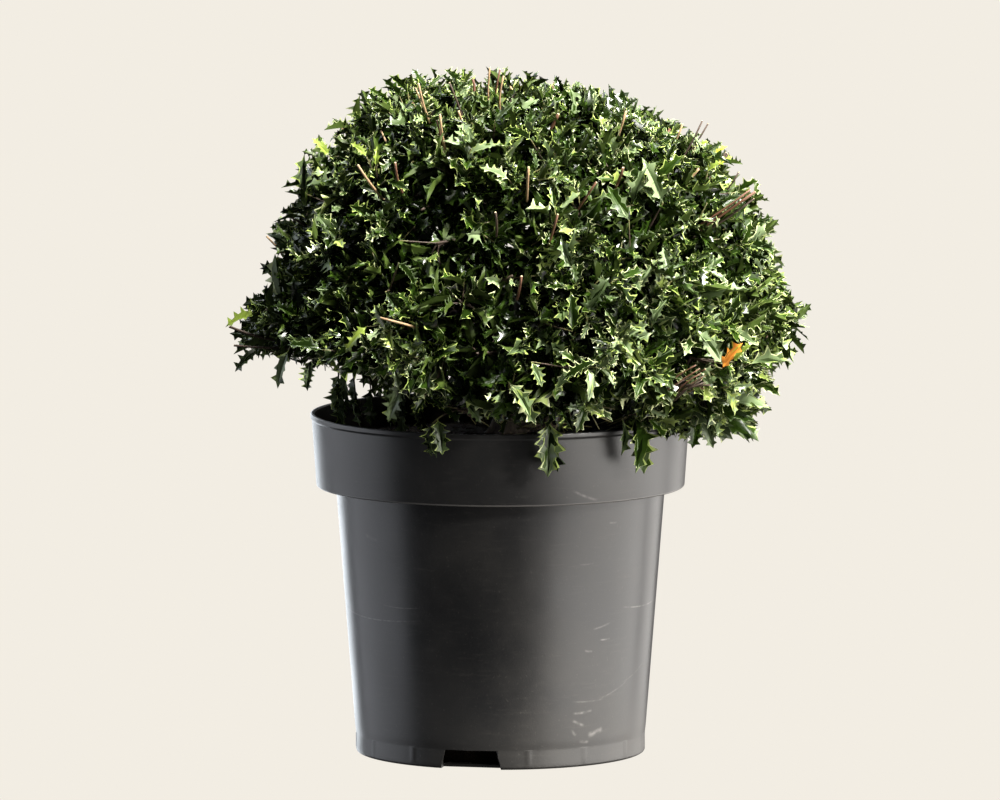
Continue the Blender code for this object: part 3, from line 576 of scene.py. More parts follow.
bark = grey_brown_bark()
trunk_shares = [k / (TRUNK_RINGS - 1) for k in range(TRUNK_RINGS)]
trunk_limb = barked_limb([trunk_point(share * TRUNK_HEIGHT) for share in trunk_shares],
                         [trunk_radius(share) for share in trunk_shares],
                         TRUNK_SIDES, TRUNK_BARK_SEED, root_ridges)
ride_root(limb_object("trunk_wood", [trunk_limb], bark), "bark", "trunk")


# The boughs: thirteen limbs that leave the trunk in two rings and at its top and spread to the crown,
# one to each mass of foliage. They thin steadily and carry the same bark, finer than the trunk's.
HEART = np.array((0.021, 0.0, 0.430))
CROWN_HALF_WIDTH = 0.262
CROWN_RISE = 0.250
CROWN_DROP = 0.088
CROWN_DROP_TILT = 0.034
CROWN_DROP_BEARING = -30.0
HOLLOW_DEPTH = 0.040
HOLLOW_BEARING = -136.0
HOLLOW_SPREAD = 17.0
POWER_ABOVE = 2.25
POWER_BELOW = 4.0
CROWN_LEAN = 0.044
SKIRT_FLARE = 0.024
SKIRT_RISE = -0.03
SKIRT_SPREAD = 0.16
CLIP_UNEVEN = 0.012
BOUGH_END_SHARE = 0.44
BOUGH_SIDES = 14
BOUGH_RINGS = 44
BOUGH_TIP_RADIUS = 0.0034
BOUGH_BARK_STEP = 2.3
LOWER_BOUGH_STAGGER = 0.009

# Where each ring's boughs start: height above the trunk's foot, radius, and how early they climb
BOUGH_STARTS = {"lower": (0.034, 0.0050, 0.10), "upper": (0.066, 0.0048, 0.45), "top": (0.080, 0.0062, 0.5)}

# Each ring of masses: its name, its sides in turn from the front, and its elevation
FRONT_BEARING = -90.0
MASS_RINGS = (
    ("upper", ("front", "right", "back_right", "back_left", "left"), 38.0),
    ("lower", ("front", "front_right", "right", "back_right", "back_left", "left", "front_left"), -2.0),
)


def unit(vectors):
    vectors = np.asarray(vectors, float)
    return vectors / np.linalg.norm(vectors, axis=-1, keepdims=True)


def compass(bearing, elevation=0.0):
    """Unit vector at a bearing in degrees from +X towards +Y, and an elevation above the level."""
    turn, lift = math.radians(bearing), math.radians(elevation)
    return np.array((math.cos(turn) * math.cos(lift), math.sin(turn) * math.cos(lift), math.sin(lift)))


def fade(offset, spread):
    """1 at no offset, falling away to 0 over the spread."""
    return np.exp(-((offset / spread) ** 2))


def from_hollow(bearing):
    """The angle from the hollow under the crown's front left, either way round."""
    return np.remainder(bearing - math.radians(HOLLOW_BEARING) + np.pi, 2 * np.pi) - np.pi


def crown_reach(directions):
    """How far the clipped surface lies from the heart in each direction, before the crown's lean."""
    directions = np.asarray(directions, float)
    rise = directions[..., 2]
    level = np.hypot(directions[..., 0], directions[..., 1])
    bearing = np.arctan2(directions[..., 1], directions[..., 0])
    hollow = HOLLOW_DEPTH * fade(from_hollow(bearing), math.radians(HOLLOW_SPREAD))
    drop = CROWN_DROP + CROWN_DROP_TILT * np.cos(bearing - math.radians(CROWN_DROP_BEARING)) - hollow
    half_width = CROWN_HALF_WIDTH + SKIRT_FLARE * fade(rise - SKIRT_RISE, SKIRT_SPREAD)
    height = np.where(rise > 0.0, CROWN_RISE, drop)
    power = np.where(rise > 0.0, POWER_ABOVE, POWER_BELOW)
    uneven = 1.0 + CLIP_UNEVEN * np.sin(5.0 * bearing + 7.0 * rise) * level
    return uneven * ((level / half_width) ** power + (np.abs(rise) / height) ** power) ** (-1.0 / power)


def lean_at(rise):
    """How far the crown's middle has moved to -X at a height above the heart."""
    return CROWN_LEAN * (np.maximum(rise, 0.0) / CROWN_RISE) ** 4


def crown_point(direction, share):
    """The point that share of the way from the heart to the clipped surface."""
    offset = np.asarray(direction) * crown_reach(direction) * share
    return HEART + offset - np.array((lean_at(offset[2]), 0.0, 0.0))


def share_of(points):
    """Where each point lies between the heart, 0, and the clipped surface, 1."""
    offset = np.array(points, float) - HEART
    offset[..., 0] += lean_at(offset[..., 2])
    length = np.linalg.norm(offset, axis=-1) + 1e-9
    return length / crown_reach(offset / length[..., None])


def bent_line(start, lead, end, count):
    """Points along a curve from start to end, pulled towards lead."""
    t = np.linspace(0.0, 1.0, count)[:, None]
    return start * (1 - t) ** 2 + lead * 2 * t * (1 - t) + end * t * t


headings = {"top": np.array((0.0, 0.0, 1.0))}
for ring_name, ring_sides, elevation in MASS_RINGS:
    for k, side in enumerate(ring_sides):
        headings[f"{ring_name}_{side}"] = compass(FRONT_BEARING + 360.0 * k / len(ring_sides), elevation)

bough_lines = {}
bough_limbs = []
for place, (mass, heading) in enumerate(headings.items()):
    height, radius, lift = BOUGH_STARTS[mass.split("_")[0]]
    height += LOWER_BOUGH_STAGGER * (place % 2) if mass.startswith("lower") else 0.0
    start, end = np.array(trunk_point(height)), crown_point(heading, BOUGH_END_SHARE)
    lead = (start + end) / 2
    lead[2] = start[2] + (end[2] - start[2]) * lift
    bough_lines[mass] = bent_line(start, lead, end, BOUGH_RINGS)
    radii = np.linspace(radius, BOUGH_TIP_RADIUS, BOUGH_RINGS)
    centres = [Vector(point) for point in bough_lines[mass]]
    bough_limbs.append(barked_limb(centres, radii, BOUGH_SIDES, place * BOUGH_BARK_STEP))
ride_root(limb_object("bough_wood", bough_limbs, bark), "bark", *(f"bough_{mass}" for mass in headings))


# The twigs: each bough goes on as a stem that forks into branches, shoots and fine twigs, four to five
# orders in all, each thinner than its parent and grown out of it. The older wood is brown, and the last
# fingers' breadth of each twig is still green.
HUB_SHARE = 0.58
BRANCH_SHARE = 0.70
SHOOT_SHARE = 0.86
BRANCHES = 52
BRANCH_ARCH = 0.008
SHOOTS = 150
SHOOT_JITTER = 0.035
SHOOT_SEED = 7
FORK_DEPTH = 0.12
LOWEST_RISE = -0.46
LEAST_REACH = 0.165
TWIGS = 1500
TWIG_LOWEST_RISE = -0.60
TWIG_JITTER = 0.05
TWIG_SEED = 23
TWIG_SHARE = 0.865
TWIG_UNEVEN = 0.05
TWIG_TOP_MORE = 0.035
TWIG_MOST_SHARE = 0.975
TWIG_CLEARANCE = 0.004
TWIG_FORKS = (0.15, 0.95)
CLUMP_DEPTH = 0.085
CLUMP_SCALE = 5.5
CLUMP_SHIFT = Vector((4.1, 0.7, 2.2))
SHOULDER_LEAD = 0.032
SHOULDER_HEADING = (0.74, -0.18, 0.65)
HUB_RADIUS = 0.0030
BRANCH_RADIUS = 0.0022
SHOOT_FOOT_RADIUS = BRANCH_RADIUS * 0.8
SHOOT_RADIUS = 0.0015
TWIG_RADIUS = 0.0010
TWIG_TIP_RADIUS = 0.0006
STEM_GAP = 0.0003
STEM_SIDES = 8
BRANCH_SIDES = 6
SHOOT_SIDES = 5
TWIG_SIDES = 4
GREEN_FROM = 0.6
TUBE_SIDEWAYS = (0.31, 0.77, 0.55)
GOLDEN_ANGLE = math.pi * (3.0 - math.sqrt(5.0))
RIM_CLEARANCE = 0.0015
FRONT_SHARE = 0.97
SIGHT_SLOPE = 0.116

# Hollows in the clipped face, seen from the front in millimetres: place across, height and how far
# they spread, and their depth as a share of the crown's reach
RECESSES = (
    (-62, 539, 42, 0.24), (-30, 405, 38, 0.25), (-88, 497, 30, 0.18), (45, 352, 30, 0.18),
    (55, 405, 22, 0.18), (-10, 560, 20, 0.14), (-175, 455, 24, 0.16), (20, 470, 18, 0.14),
    (185, 372, 22, 0.18), (-125, 470, 20, 0.16), (105, 560, 14, 0.14), (150, 510, 13, 0.13),
    (-95, 590, 13, 0.14), (100, 455, 15, 0.14), (20, 610, 13, 0.12), (-35, 350, 26, 0.16),
    (-140, 530, 14, 0.12), (60, 520, 14, 0.13), (75, 672, 36, 0.025), (-195, 605, 18, 0.03),
    (190, 520, 14, 0.15), (215, 468, 13, 0.15), (165, 447, 12, 0.15), (134, 430, 13, 0.15),
    (236, 436, 12, 0.14), (178, 575, 12, 0.14), (123, 490, 12, 0.15), (-20, 652, 11, 0.14),
    (40, 646, 11, 0.14), (-62, 638, 12, 0.14), (92, 630, 11, 0.14), (132, 607, 11, 0.14),
    (-112, 622, 12, 0.14), (5, 628, 10, 0.12), (225, 530, 10, 0.12), (-150, 580, 11, 0.13),
    (-45, 656, 12, 0.16), (18, 660, 12, 0.16), (62, 648, 12, 0.16), (108, 632, 12, 0.16),
    (-88, 640, 11, 0.15), (150, 595, 12, 0.16), (55, 618, 12, 0.16), (-20, 625, 12, 0.16),
    (-72, 612, 11, 0.14),
)
SMALL_RECESSES = 150
SMALL_RECESS_JITTER = 0.08
SMALL_RECESS_SHARE = 0.96
SMALL_RECESS_LOWEST = 0.1
SMALL_RECESS_HIGHEST = 0.80
SMALL_RECESS_SPREADS = (0.009, 0.013)
SMALL_RECESS_DEPTHS = (0.08, 0.17)


def even_directions(count, jitter, seed, lowest):
    """Directions spread evenly and each moved a little, none where the crown is shallow."""
    chance = random.Random(seed)
    found = []
    for k in range(count):
        rise = 1.0 - (1.0 - lowest) * (k + 0.5) / count
        level = math.sqrt(1.0 - rise * rise)
        turn = k * GOLDEN_ANGLE
        shift = np.array([chance.uniform(-1, 1) for _ in range(3)]) * jitter
        direction = np.array((level * math.cos(turn), level * math.sin(turn), rise)) + shift
        direction[2] = max(direction[2], lowest)
        direction = unit(direction)
        if crown_reach(direction) > LEAST_REACH:
            found.append(direction)
    return found


def mass_of(point):
    """The mass whose heading a point lies nearest to."""
    direction = unit(point - HEART)
    return max(headings, key=lambda mass: direction @ headings[mass])


def front_point(across, height, reach=FRONT_SHARE):
    """The front of the crown, at a place across and a height as the plant is seen from in front."""
    for inwards in np.linspace(0.0, 0.3, 31):
        for depth in np.linspace(-0.32, 0.10, 169):
            place = np.array((across, depth, height - SIGHT_SLOPE * depth))
            point = place + (HEART - place) * (inwards, 0.0, inwards)
            if share_of(point) < reach:
                return point
    return HEART


def clear_of_pot(points, clearance=RIM_CLEARANCE):
    """Whether every point is clear of the pot and soil: above the rim, outside it or in its mouth."""
    radius = np.hypot(points[..., 0], points[..., 1])
    outside = (radius > RIM_RADIUS + clearance) | (points[..., 2] > POT_HEIGHT + clearance)
    mouth = (radius < COLLAR_FOOT_RADIUS - WALL - clearance) & (points[..., 2] > SOIL_TOP + 2 * clearance)
    return bool(np.all(outside | mouth))


def recess(point):
    """How far a twig's tip is held back near the dark hollows that the clipped face shows."""
    return sum(depth * fade(np.linalg.norm(point - place), spread) for place, spread, depth in recesses)


def clump(direction):
    """From -1, a hollow between clumps of twigs, to 1, the middle of a clump."""
    return noise.fractal(Vector(direction) * CLUMP_SCALE + CLUMP_SHIFT, 0.8, 2.0, 2)


def shoulder(direction):
    """How much a direction lies towards the crown's fuller right shoulder."""
    return max(0.0, direction @ unit(SHOULDER_HEADING)) ** 4


def nearest_end(lines, point):
    """The line that ends nearest to a point."""
    return min(lines, key=lambda line: np.linalg.norm(line[-1] - point))


def tube_parts(line, first_radius, last_radius, sides):
    """Points and triangles of a plain tapering tube along a line, its far end drawn to a point."""
    count = len(line)
    along = unit(np.gradient(line, axis=0))
    across = unit(np.cross(along, TUBE_SIDEWAYS))
    other = np.cross(along, across)
    radii = np.linspace(first_radius, last_radius, count)[:, None, None]
    turns = (np.arange(sides) * 2 * np.pi / sides)[None, :, None]
    ring = across[:, None, :] * np.cos(turns) + other[:, None, :] * np.sin(turns)
    points = (line[:, None, :] + ring * radii).reshape(-1, 3)
    points = np.vstack([points, line[-1] + along[-1] * last_radius])
    last = (count - 1) * sides
    triangles = []
    for low in range(0, last, sides):
        for side in range(sides):
            a, b = low + side, low + (side + 1) % sides
            triangles += [(a, b, b + sides), (a, b + sides, a + sides)]
    for side in range(sides):
        triangles.append((last + side, last + (side + 1) % sides, count * sides))
    return points, np.array(triangles)


def joined_mesh(name, parts):
    """A smooth mesh of parts, each its points, its triangles and every triangle's material number."""
    points, triangles, kinds = [], [], []
    start = 0
    for part_points, part_triangles, part_kinds in parts:
        points.append(part_points)
        triangles.append(part_triangles + start)
        kinds.append(part_kinds)
        start += len(part_points)
    triangles = np.vstack(triangles)
    mesh = bpy.data.meshes.new(name)
    mesh.vertices.add(start)
    mesh.vertices.foreach_set("co", np.ascontiguousarray(np.vstack(points), np.float32).ravel())
    mesh.loops.add(len(triangles) * 3)
    mesh.loops.foreach_set("vertex_index", np.ascontiguousarray(triangles, np.int32).ravel())
    mesh.polygons.add(len(triangles))
    mesh.polygons.foreach_set("loop_start", np.arange(0, len(triangles) * 3, 3, dtype=np.int32))
    mesh.polygons.foreach_set("material_index", np.ascontiguousarray(np.concatenate(kinds), np.int32))
    mesh.update(calc_edges=True)
    mesh.shade_smooth()
    return mesh


def twig_part(line, first_radius, last_radius, sides):
    """A stem's or twig's points and triangles. The finest wood is green from part of its way on."""
    points, triangles = tube_parts(line, first_radius, last_radius, sides)
    green = np.arange(len(triangles)) > len(triangles) * GREEN_FROM
    return points, triangles, np.where(green & (sides == TWIG_SIDES), 1, 0)


def make_twigs():
    """Joins each mass's wood into one piece, once the leaves have added the stems that they hang from."""
    for mass, limbs in wood.items():
        mesh = joined_mesh(f"twigs_{mass}", [twig_part(*limb) for limb in limbs])
        ride_root(make_object(f"twigs_{mass}", mesh, brown_twig, green_twig), "bark")


brown_twig = new_material("brown_twig", (0.055, 0.034, 0.022), 0.7)
green_twig = new_material("green_twig", (0.120, 0.110, 0.035), 0.55)
recesses = []
for across, height, spread, depth in RECESSES:
    across, height, spread = metres(across, height, spread)
    recesses.append((front_point(across, height), spread, depth))
chance = random.Random(TWIG_SEED + 1)
for direction in even_directions(SMALL_RECESSES, SMALL_RECESS_JITTER, TWIG_SEED + 1, SMALL_RECESS_LOWEST):
    spread, depth = chance.uniform(*SMALL_RECESS_SPREADS), chance.uniform(*SMALL_RECESS_DEPTHS)
    if direction[2] < SMALL_RECESS_HIGHEST:
        recesses.append((crown_point(direction, SMALL_RECESS_SHARE), spread, depth))

# For each mass, every piece of wood as its line, its radius at both ends and its number of sides
wood = {mass: [] for mass in headings}
branches = {mass: [] for mass in headings}
shoots = {mass: [] for mass in headings}
for mass, heading in headings.items():
    line = bough_lines[mass]
    hub = crown_point(heading, HUB_SHARE)
    foot = line[-1] + unit(line[-1] - line[-2]) * STEM_GAP
    stem = bent_line(foot, (foot + hub) / 2, hub, 4)
    wood[mass].append((stem, BOUGH_TIP_RADIUS, HUB_RADIUS, STEM_SIDES))
for direction in even_directions(BRANCHES, 0.0, SHOOT_SEED, LOWEST_RISE):
    end = crown_point(direction, BRANCH_SHARE)
    mass = mass_of(end)
    stem = wood[mass][0][0]
    fork = stem[-1] + (stem[0] - stem[-1]) * FORK_DEPTH
    line = bent_line(fork, (fork + end) / 2 + headings[mass] * BRANCH_ARCH, end, 6)
    branches[mass].append(line)
    wood[mass].append((line, HUB_RADIUS, BRANCH_RADIUS, BRANCH_SIDES))
for direction in even_directions(SHOOTS, SHOOT_JITTER, SHOOT_SEED, LOWEST_RISE):
    tip = crown_point(direction, SHOOT_SHARE)
    mass = mass_of(tip)
    if branches[mass] and clear_of_pot(tip):
        parent = nearest_end(branches[mass], tip)
        fork = parent[-1] + (parent[-2] - parent[-1]) * FORK_DEPTH
        line = bent_line(fork, (fork + tip) / 2, tip, 6)
        shoots[mass].append(line)
        wood[mass].append((line, SHOOT_FOOT_RADIUS, SHOOT_RADIUS, SHOOT_SIDES))

twigs = []
chance = random.Random(TWIG_SEED)
for direction in even_directions(TWIGS, TWIG_JITTER, TWIG_SEED, TWIG_LOWEST_RISE):
    share = TWIG_SHARE + CLUMP_DEPTH * clump(direction) + chance.uniform(-TWIG_UNEVEN, TWIG_UNEVEN)
    share = min(share + TWIG_TOP_MORE * max(0.0, direction[2]), TWIG_MOST_SHARE)
    share += SHOULDER_LEAD * shoulder(direction)
    share -= recess(crown_point(direction, share))
    tip = crown_point(direction, share)
    mass = mass_of(tip)
    if not shoots[mass] or not clear_of_pot(tip, TWIG_CLEARANCE):
        continue
    parent = nearest_end(shoots[mass], tip)
    place = chance.uniform(*TWIG_FORKS) * (len(parent) - 1)
    low = min(int(place), len(parent) - 2)
    fork = parent[low] + (parent[low + 1] - parent[low]) * (place - low)
    lead = fork + unit(parent[-1] - parent[0]) * np.linalg.norm(tip - fork) * 0.45
    line = bent_line(fork, lead, tip, 5)
    twigs.append((mass, line, direction))
    wood[mass].append((line, TWIG_RADIUS, TWIG_TIP_RADIUS, TWIG_SIDES))


# The leaves: stiff, waxy blades, folded along the midrib, spined down each side, and splashed and edged
# with cream and lime on green. They sit on the twigs by short stalks, in pairs that each turn a quarter
# from the last, and some sprays hang over the rim.
PETIOLE = 0.07
MARGIN = 0.015
SPINE_SWEEP = 0.70
SPINE_BASE = 0.27
LEAF_SPINES = (3, 4, 4, 3, 5)

# The range that each leaf's form is drawn from: half width, spine, fold, curl, ripple and its phase
FORM_RANGES = ((0.105, 0.160), (0.100, 0.150), (0.12, 0.55), (0.05, 0.45), (0.020, 0.048), (0.0, 6.0))

# Each leaf colour: its name, its colour, how rough it is and how much it shines
LEAF_COLOURS = (
    ("leaf_deep_green", (0.0070, 0.0150, 0.0015), 0.22, 0.30),
    ("leaf_mid_green", (0.024, 0.050, 0.005), 0.24, 0.35),
    ("leaf_grey_green", (0.068, 0.100, 0.038), 0.27, 0.45),
    ("leaf_lime", (0.330, 0.415, 0.105), 0.32, 0.50),
    ("leaf_cream", (0.620, 0.670, 0.345), 0.34, 0.50),
    ("leaf_young", (0.215, 0.290, 0.045), 0.36, 0.50),
    ("leaf_underside", (0.048, 0.076, 0.012), 0.50, 0.30),
    ("leaf_orange", (0.620, 0.225, 0.030), 0.42, 0.50),
    ("leaf_yellow", (0.430, 0.380, 0.045), 0.42, 0.50),
    # Pale green: leaf colour in margins and splashes, and painted sheen in the colouring that paints sheen
    ("leaf_pale_green", (0.200, 0.265, 0.130), 0.30, 0.50),
)
DEEP, MID, GREY, LIME, CREAM, YOUNG, UNDER, ORANGE, YELLOW, PALE = range(10)

# Each colouring: how its margins and its blades are shared out among the colours above
COLOURINGS = {
    "dark": (((MID, 0.35), (GREY, 0.22), (PALE, 0.15), (LIME, 0.28)),
             ((DEEP, 0.70), (MID, 0.22), (GREY, 0.08))),
    "edged": (((LIME, 0.50), (CREAM, 0.32), (PALE, 0.18)),
              ((DEEP, 0.50), (MID, 0.27), (GREY, 0.13), (PALE, 0.10))),
    "splashed": (((CREAM, 0.55), (LIME, 0.45)),
                 ((MID, 0.30), (PALE, 0.30), (GREY, 0.20), (LIME, 0.16), (CREAM, 0.04))),
    # This colouring paints pale grey-green blades: painted sheen, for leaves turned to the light
    "glossy": (((PALE, 0.60), (LIME, 0.25), (GREY, 0.15)), ((PALE, 0.55), (GREY, 0.30), (MID, 0.15))),
    # This colouring is painted shade: dark margins and dark blades for leaves deep in the crown
    "shaded": (((MID, 0.55), (DEEP, 0.37), (GREY, 0.08)), ((DEEP, 0.90), (MID, 0.10))),
    "grey": (((GREY, 0.70), (LIME, 0.30)), ((GREY, 0.45), (DEEP, 0.35), (MID, 0.20))),
    "young": (((YOUNG, 0.80), (LIME, 0.20)), ((YOUNG, 0.75), (LIME, 0.25))),
    "orange": (((ORANGE, 0.9), (YELLOW, 0.1)), ((ORANGE, 0.92), (YELLOW, 0.08))),
    "yellow": (((YELLOW, 0.8), (YOUNG, 0.2)), ((YELLOW, 0.85), (YOUNG, 0.15))),
}
STEADY = (0.85, 0.70)

# Where the leaves sit, how long they are and how far out they reach
LEAF_SEED = 41
LEAF_FORMS = 20
LEAF_TIP_SHARE = 1.03
INNER_SHARE = 0.87
# How deep a leaf lies when it takes the painted shade of the shaded colouring, and how much further out near
# the top
SHADED_SHARE = 0.908
TOP_SHADED_MORE = 0.034
SHOULDER_BULGE = 0.045
SHORTENED = (1.0, 0.84, 0.68)
PAIR_STEPS = (0.0, 0.0080, 0.0180, 0.0295, 0.0425)
PAIR_ANGLES = (30.0, 46.0, 60.0, 70.0, 78.0)
PAIR_SIZES = (0.58, 0.84, 1.0, 1.0, 0.95)
LEAF_LENGTHS = (0.032, 0.050)
TOP_LEAF_SHARE = 0.80
LOST_LEAVES = 0.08
OWN_COLOURING = 0.75
HEM_HEIGHT = 0.358
HEM_TILT = 0.036
HEM_HOLLOW = 0.012
HEM_HOLLOW_SPREAD = 30.0
HEM_RADIUS = 0.120
HEM_GAP = 0.030
HEM_GAP_BEARING = -60.0
HEM_GAP_SPREAD = 9.0

# How the leaves' colourings are shared out: on the left, darker as painted shade, on the right, paler as
# painted light from the right, and on the sheared top
COMMON_LEFT = (("dark", 0.52), ("edged", 0.35), ("splashed", 0.07), ("grey", 0.06))
COMMON_RIGHT = (("dark", 0.25), ("edged", 0.42), ("splashed", 0.24), ("glossy", 0.09))
COMMON_TOP = (("dark", 0.46), ("edged", 0.37), ("splashed", 0.09), ("glossy", 0.08))
TOP_FROM = (0.50, 0.66)
RIGHT_FROM = (-0.22, 0.22)

# Twigs of one colouring, seen from the front in millimetres: place across, height, how far they spread
ACCENTS = (
    ("young", -173, 606, 10), ("young", -128, 590, 12), ("young", -116, 563, 8), ("young", 200, 380, 10),
    ("splashed", 240, 330, 35), ("splashed", -255, 430, 16), ("splashed", 150, 470, 28),
    ("splashed", 30, 345, 24), ("splashed", 215, 520, 30), ("splashed", 60, 560, 24),
    ("splashed", 120, 400, 30), ("splashed", 165, 400, 30), ("splashed", 220, 405, 30),
    ("splashed", 255, 420, 26), ("splashed", 80, 360, 28), ("splashed", 190, 350, 26),
    ("splashed", -10, 345, 20), ("splashed", 250, 365, 26), ("splashed", 140, 350, 26),
    ("splashed", 210, 430, 30), ("splashed", 20, 500, 24), ("splashed", 235, 385, 30),
    ("splashed", 175, 375, 24), ("edged", -150, 595, 26), ("edged", -105, 620, 26),
    ("edged", -180, 555, 26), ("glossy", -120, 560, 24), ("edged", -85, 580, 24),
    ("glossy", -150, 530, 22), ("edged", -60, 635, 26),
)

# Each spray that hangs over the rim: bearing, how far out and above it hangs from in millimetres,
# leaves, their length in millimetres, how much they drop, how far they splay, and their colouring
SPRAYS = (
    (-109, 16, 12, 3, 36, 1, 0.8, "grey"), (-77, 20, 16, 3, 60, 1, 0.45, "edged"),
    (-49.5, 14, 16, 2, 60, 1, 0.35, "edged"), (-53.5, 12, 12, 1, 36, 1, 0.4, "edged"),
    (-24, 16, 18, 3, 40, 0.9, 1, "grey"), (-14, 26, 6, 4, 50, 0.45, 1, "glossy"),
    (4, 34, 2, 4, 46, 0.45, 1, "edged"), (52, 20, 24, 5, 46, 0.8, 1, "edged"),
    (100, 16, 30, 5, 48, 1, 1, "splashed"), (126, 14, 32, 4, 44, 1, 1, "dark"),
)
SPRAY_RISE = 0.012

# Each tuft that hangs in the open hollow at the front left, in millimetres: place across, height of its
# foot and of its lowest leaf, and its number of leaves
TUFTS = (
    (-161, 395, 354, 6), (-156, 396, 346, 8), (-144, 396, 346, 6), (-128, 396, 348, 3),
    (-103, 395, 346, 6), (-96, 394, 342, 6), (-80, 392, 342, 8),
)
TUFT_LENGTHS = (0.023, 0.033)
# The tufts take pale colourings: painted light that lifts them out of the crown's shade
TUFT_COLOURINGS = ("glossy", "splashed", "grey")
TUFT_DEPTHS = (-0.080, -0.030)
TUFT_LEAF_DROP = 0.016

# Leaves that stand out by themselves: root and tip, across and up in millimetres as seen from the
# front, and colouring
LONE_LEAVES = (
    (217.5, 383.5, 235.5, 410.5, "orange"), (229, 390, 244, 409, "young"), (218, 388, 196, 422, "glossy"),
    (208, 340, 256, 323, "grey"), (204, 344, 250, 342, "grey"), (215, 352, 264, 354, "splashed"),
    (195, 339, 190, 306, "grey"), (201, 339, 209, 307, "glossy"), (230, 364, 268, 376, "edged"),
    (245, 388, 283, 396, "splashed"), (182, 368, 146, 341, "grey"), (224, 350, 230, 375, "dark"),
    (8, 370, 36, 334, "splashed"), (-24, 660, -5.5, 628, "glossy"), (-5.5, 628, 10, 647, "glossy"),
    (-192.5, 558, -198.5, 594, "grey"), (-113, 570, -90, 564, "grey"), (-170, 596, -183, 615, "young"),
    (-132, 594, -145, 609, "young"), (-123, 584, -121, 603, "young"), (-100, 510, -98, 516, "young"),
    (-242, 440, -273, 433, "young"), (-238, 405, -264, 386, "glossy"), (-209, 402, -225, 370, "glossy"),
    (-186, 393, -192, 364, "grey"), (-175, 402, -204, 414, "grey"), (-96, 368, -112, 335, "glossy"),
    (-113, 459, -91, 433, "grey"), (-131, 425, -154, 406, "young"), (202, 614, 213, 621, "young"),
    (209, 596.5, 222.5, 610, "yellow"), (213.5, 586, 226.5, 598.5, "yellow"),
    (218, 600, 227.5, 594.5, "young"), (205, 580, 216, 592, "young"), (160, 548, 144, 589, "glossy"),
    (130, 545, 136, 582, "glossy"), (126, 530, 108, 562, "glossy"), (70, 482, 59, 508, "glossy"),
    (85, 438, 102, 473, "grey"), (168, 470, 160, 500, "glossy"), (148, 424, 157, 452, "glossy"),
    (70, 420, 72, 456, "dark"), (8, 570, -15, 586, "splashed"), (30, 610, 8, 625, "dark"),
    (-100, 488, -82, 470, "dark"), (-74, 356, -86, 340, "grey"), (-112, 336, -88, 329, "grey"),
    (-96, 348, -72, 338, "dark"), (-60, 348, -40, 333, "dark"), (-35, 350, -18, 333, "grey"),
    (130, 380, 108, 362, "edged"), (95, 390, 60, 382, "edged"), (30, 390, 42, 368, "splashed"),
    (150, 360, 132, 338, "edged"), (30, 354, 12, 332, "dark"), (4, 352, -2, 331, "dark"),
    (45, 352, 58, 334, "dark"), (18, 352, 22, 333, "grey"), (-100, 656, -115, 675, "dark"),
    (-110, 648, -127, 666, "edged"), (-92, 660, -106, 679, "dark"), (-116, 644, -130, 660, "dark"),
    (-75, 664, -82, 684, "dark"), (235, 560, 255, 574, "edged"),
)
LONE_SHARE = 0.97
LOW_LONE_SHARE = 0.88
LOW_LONE_HEIGHT = 0.383


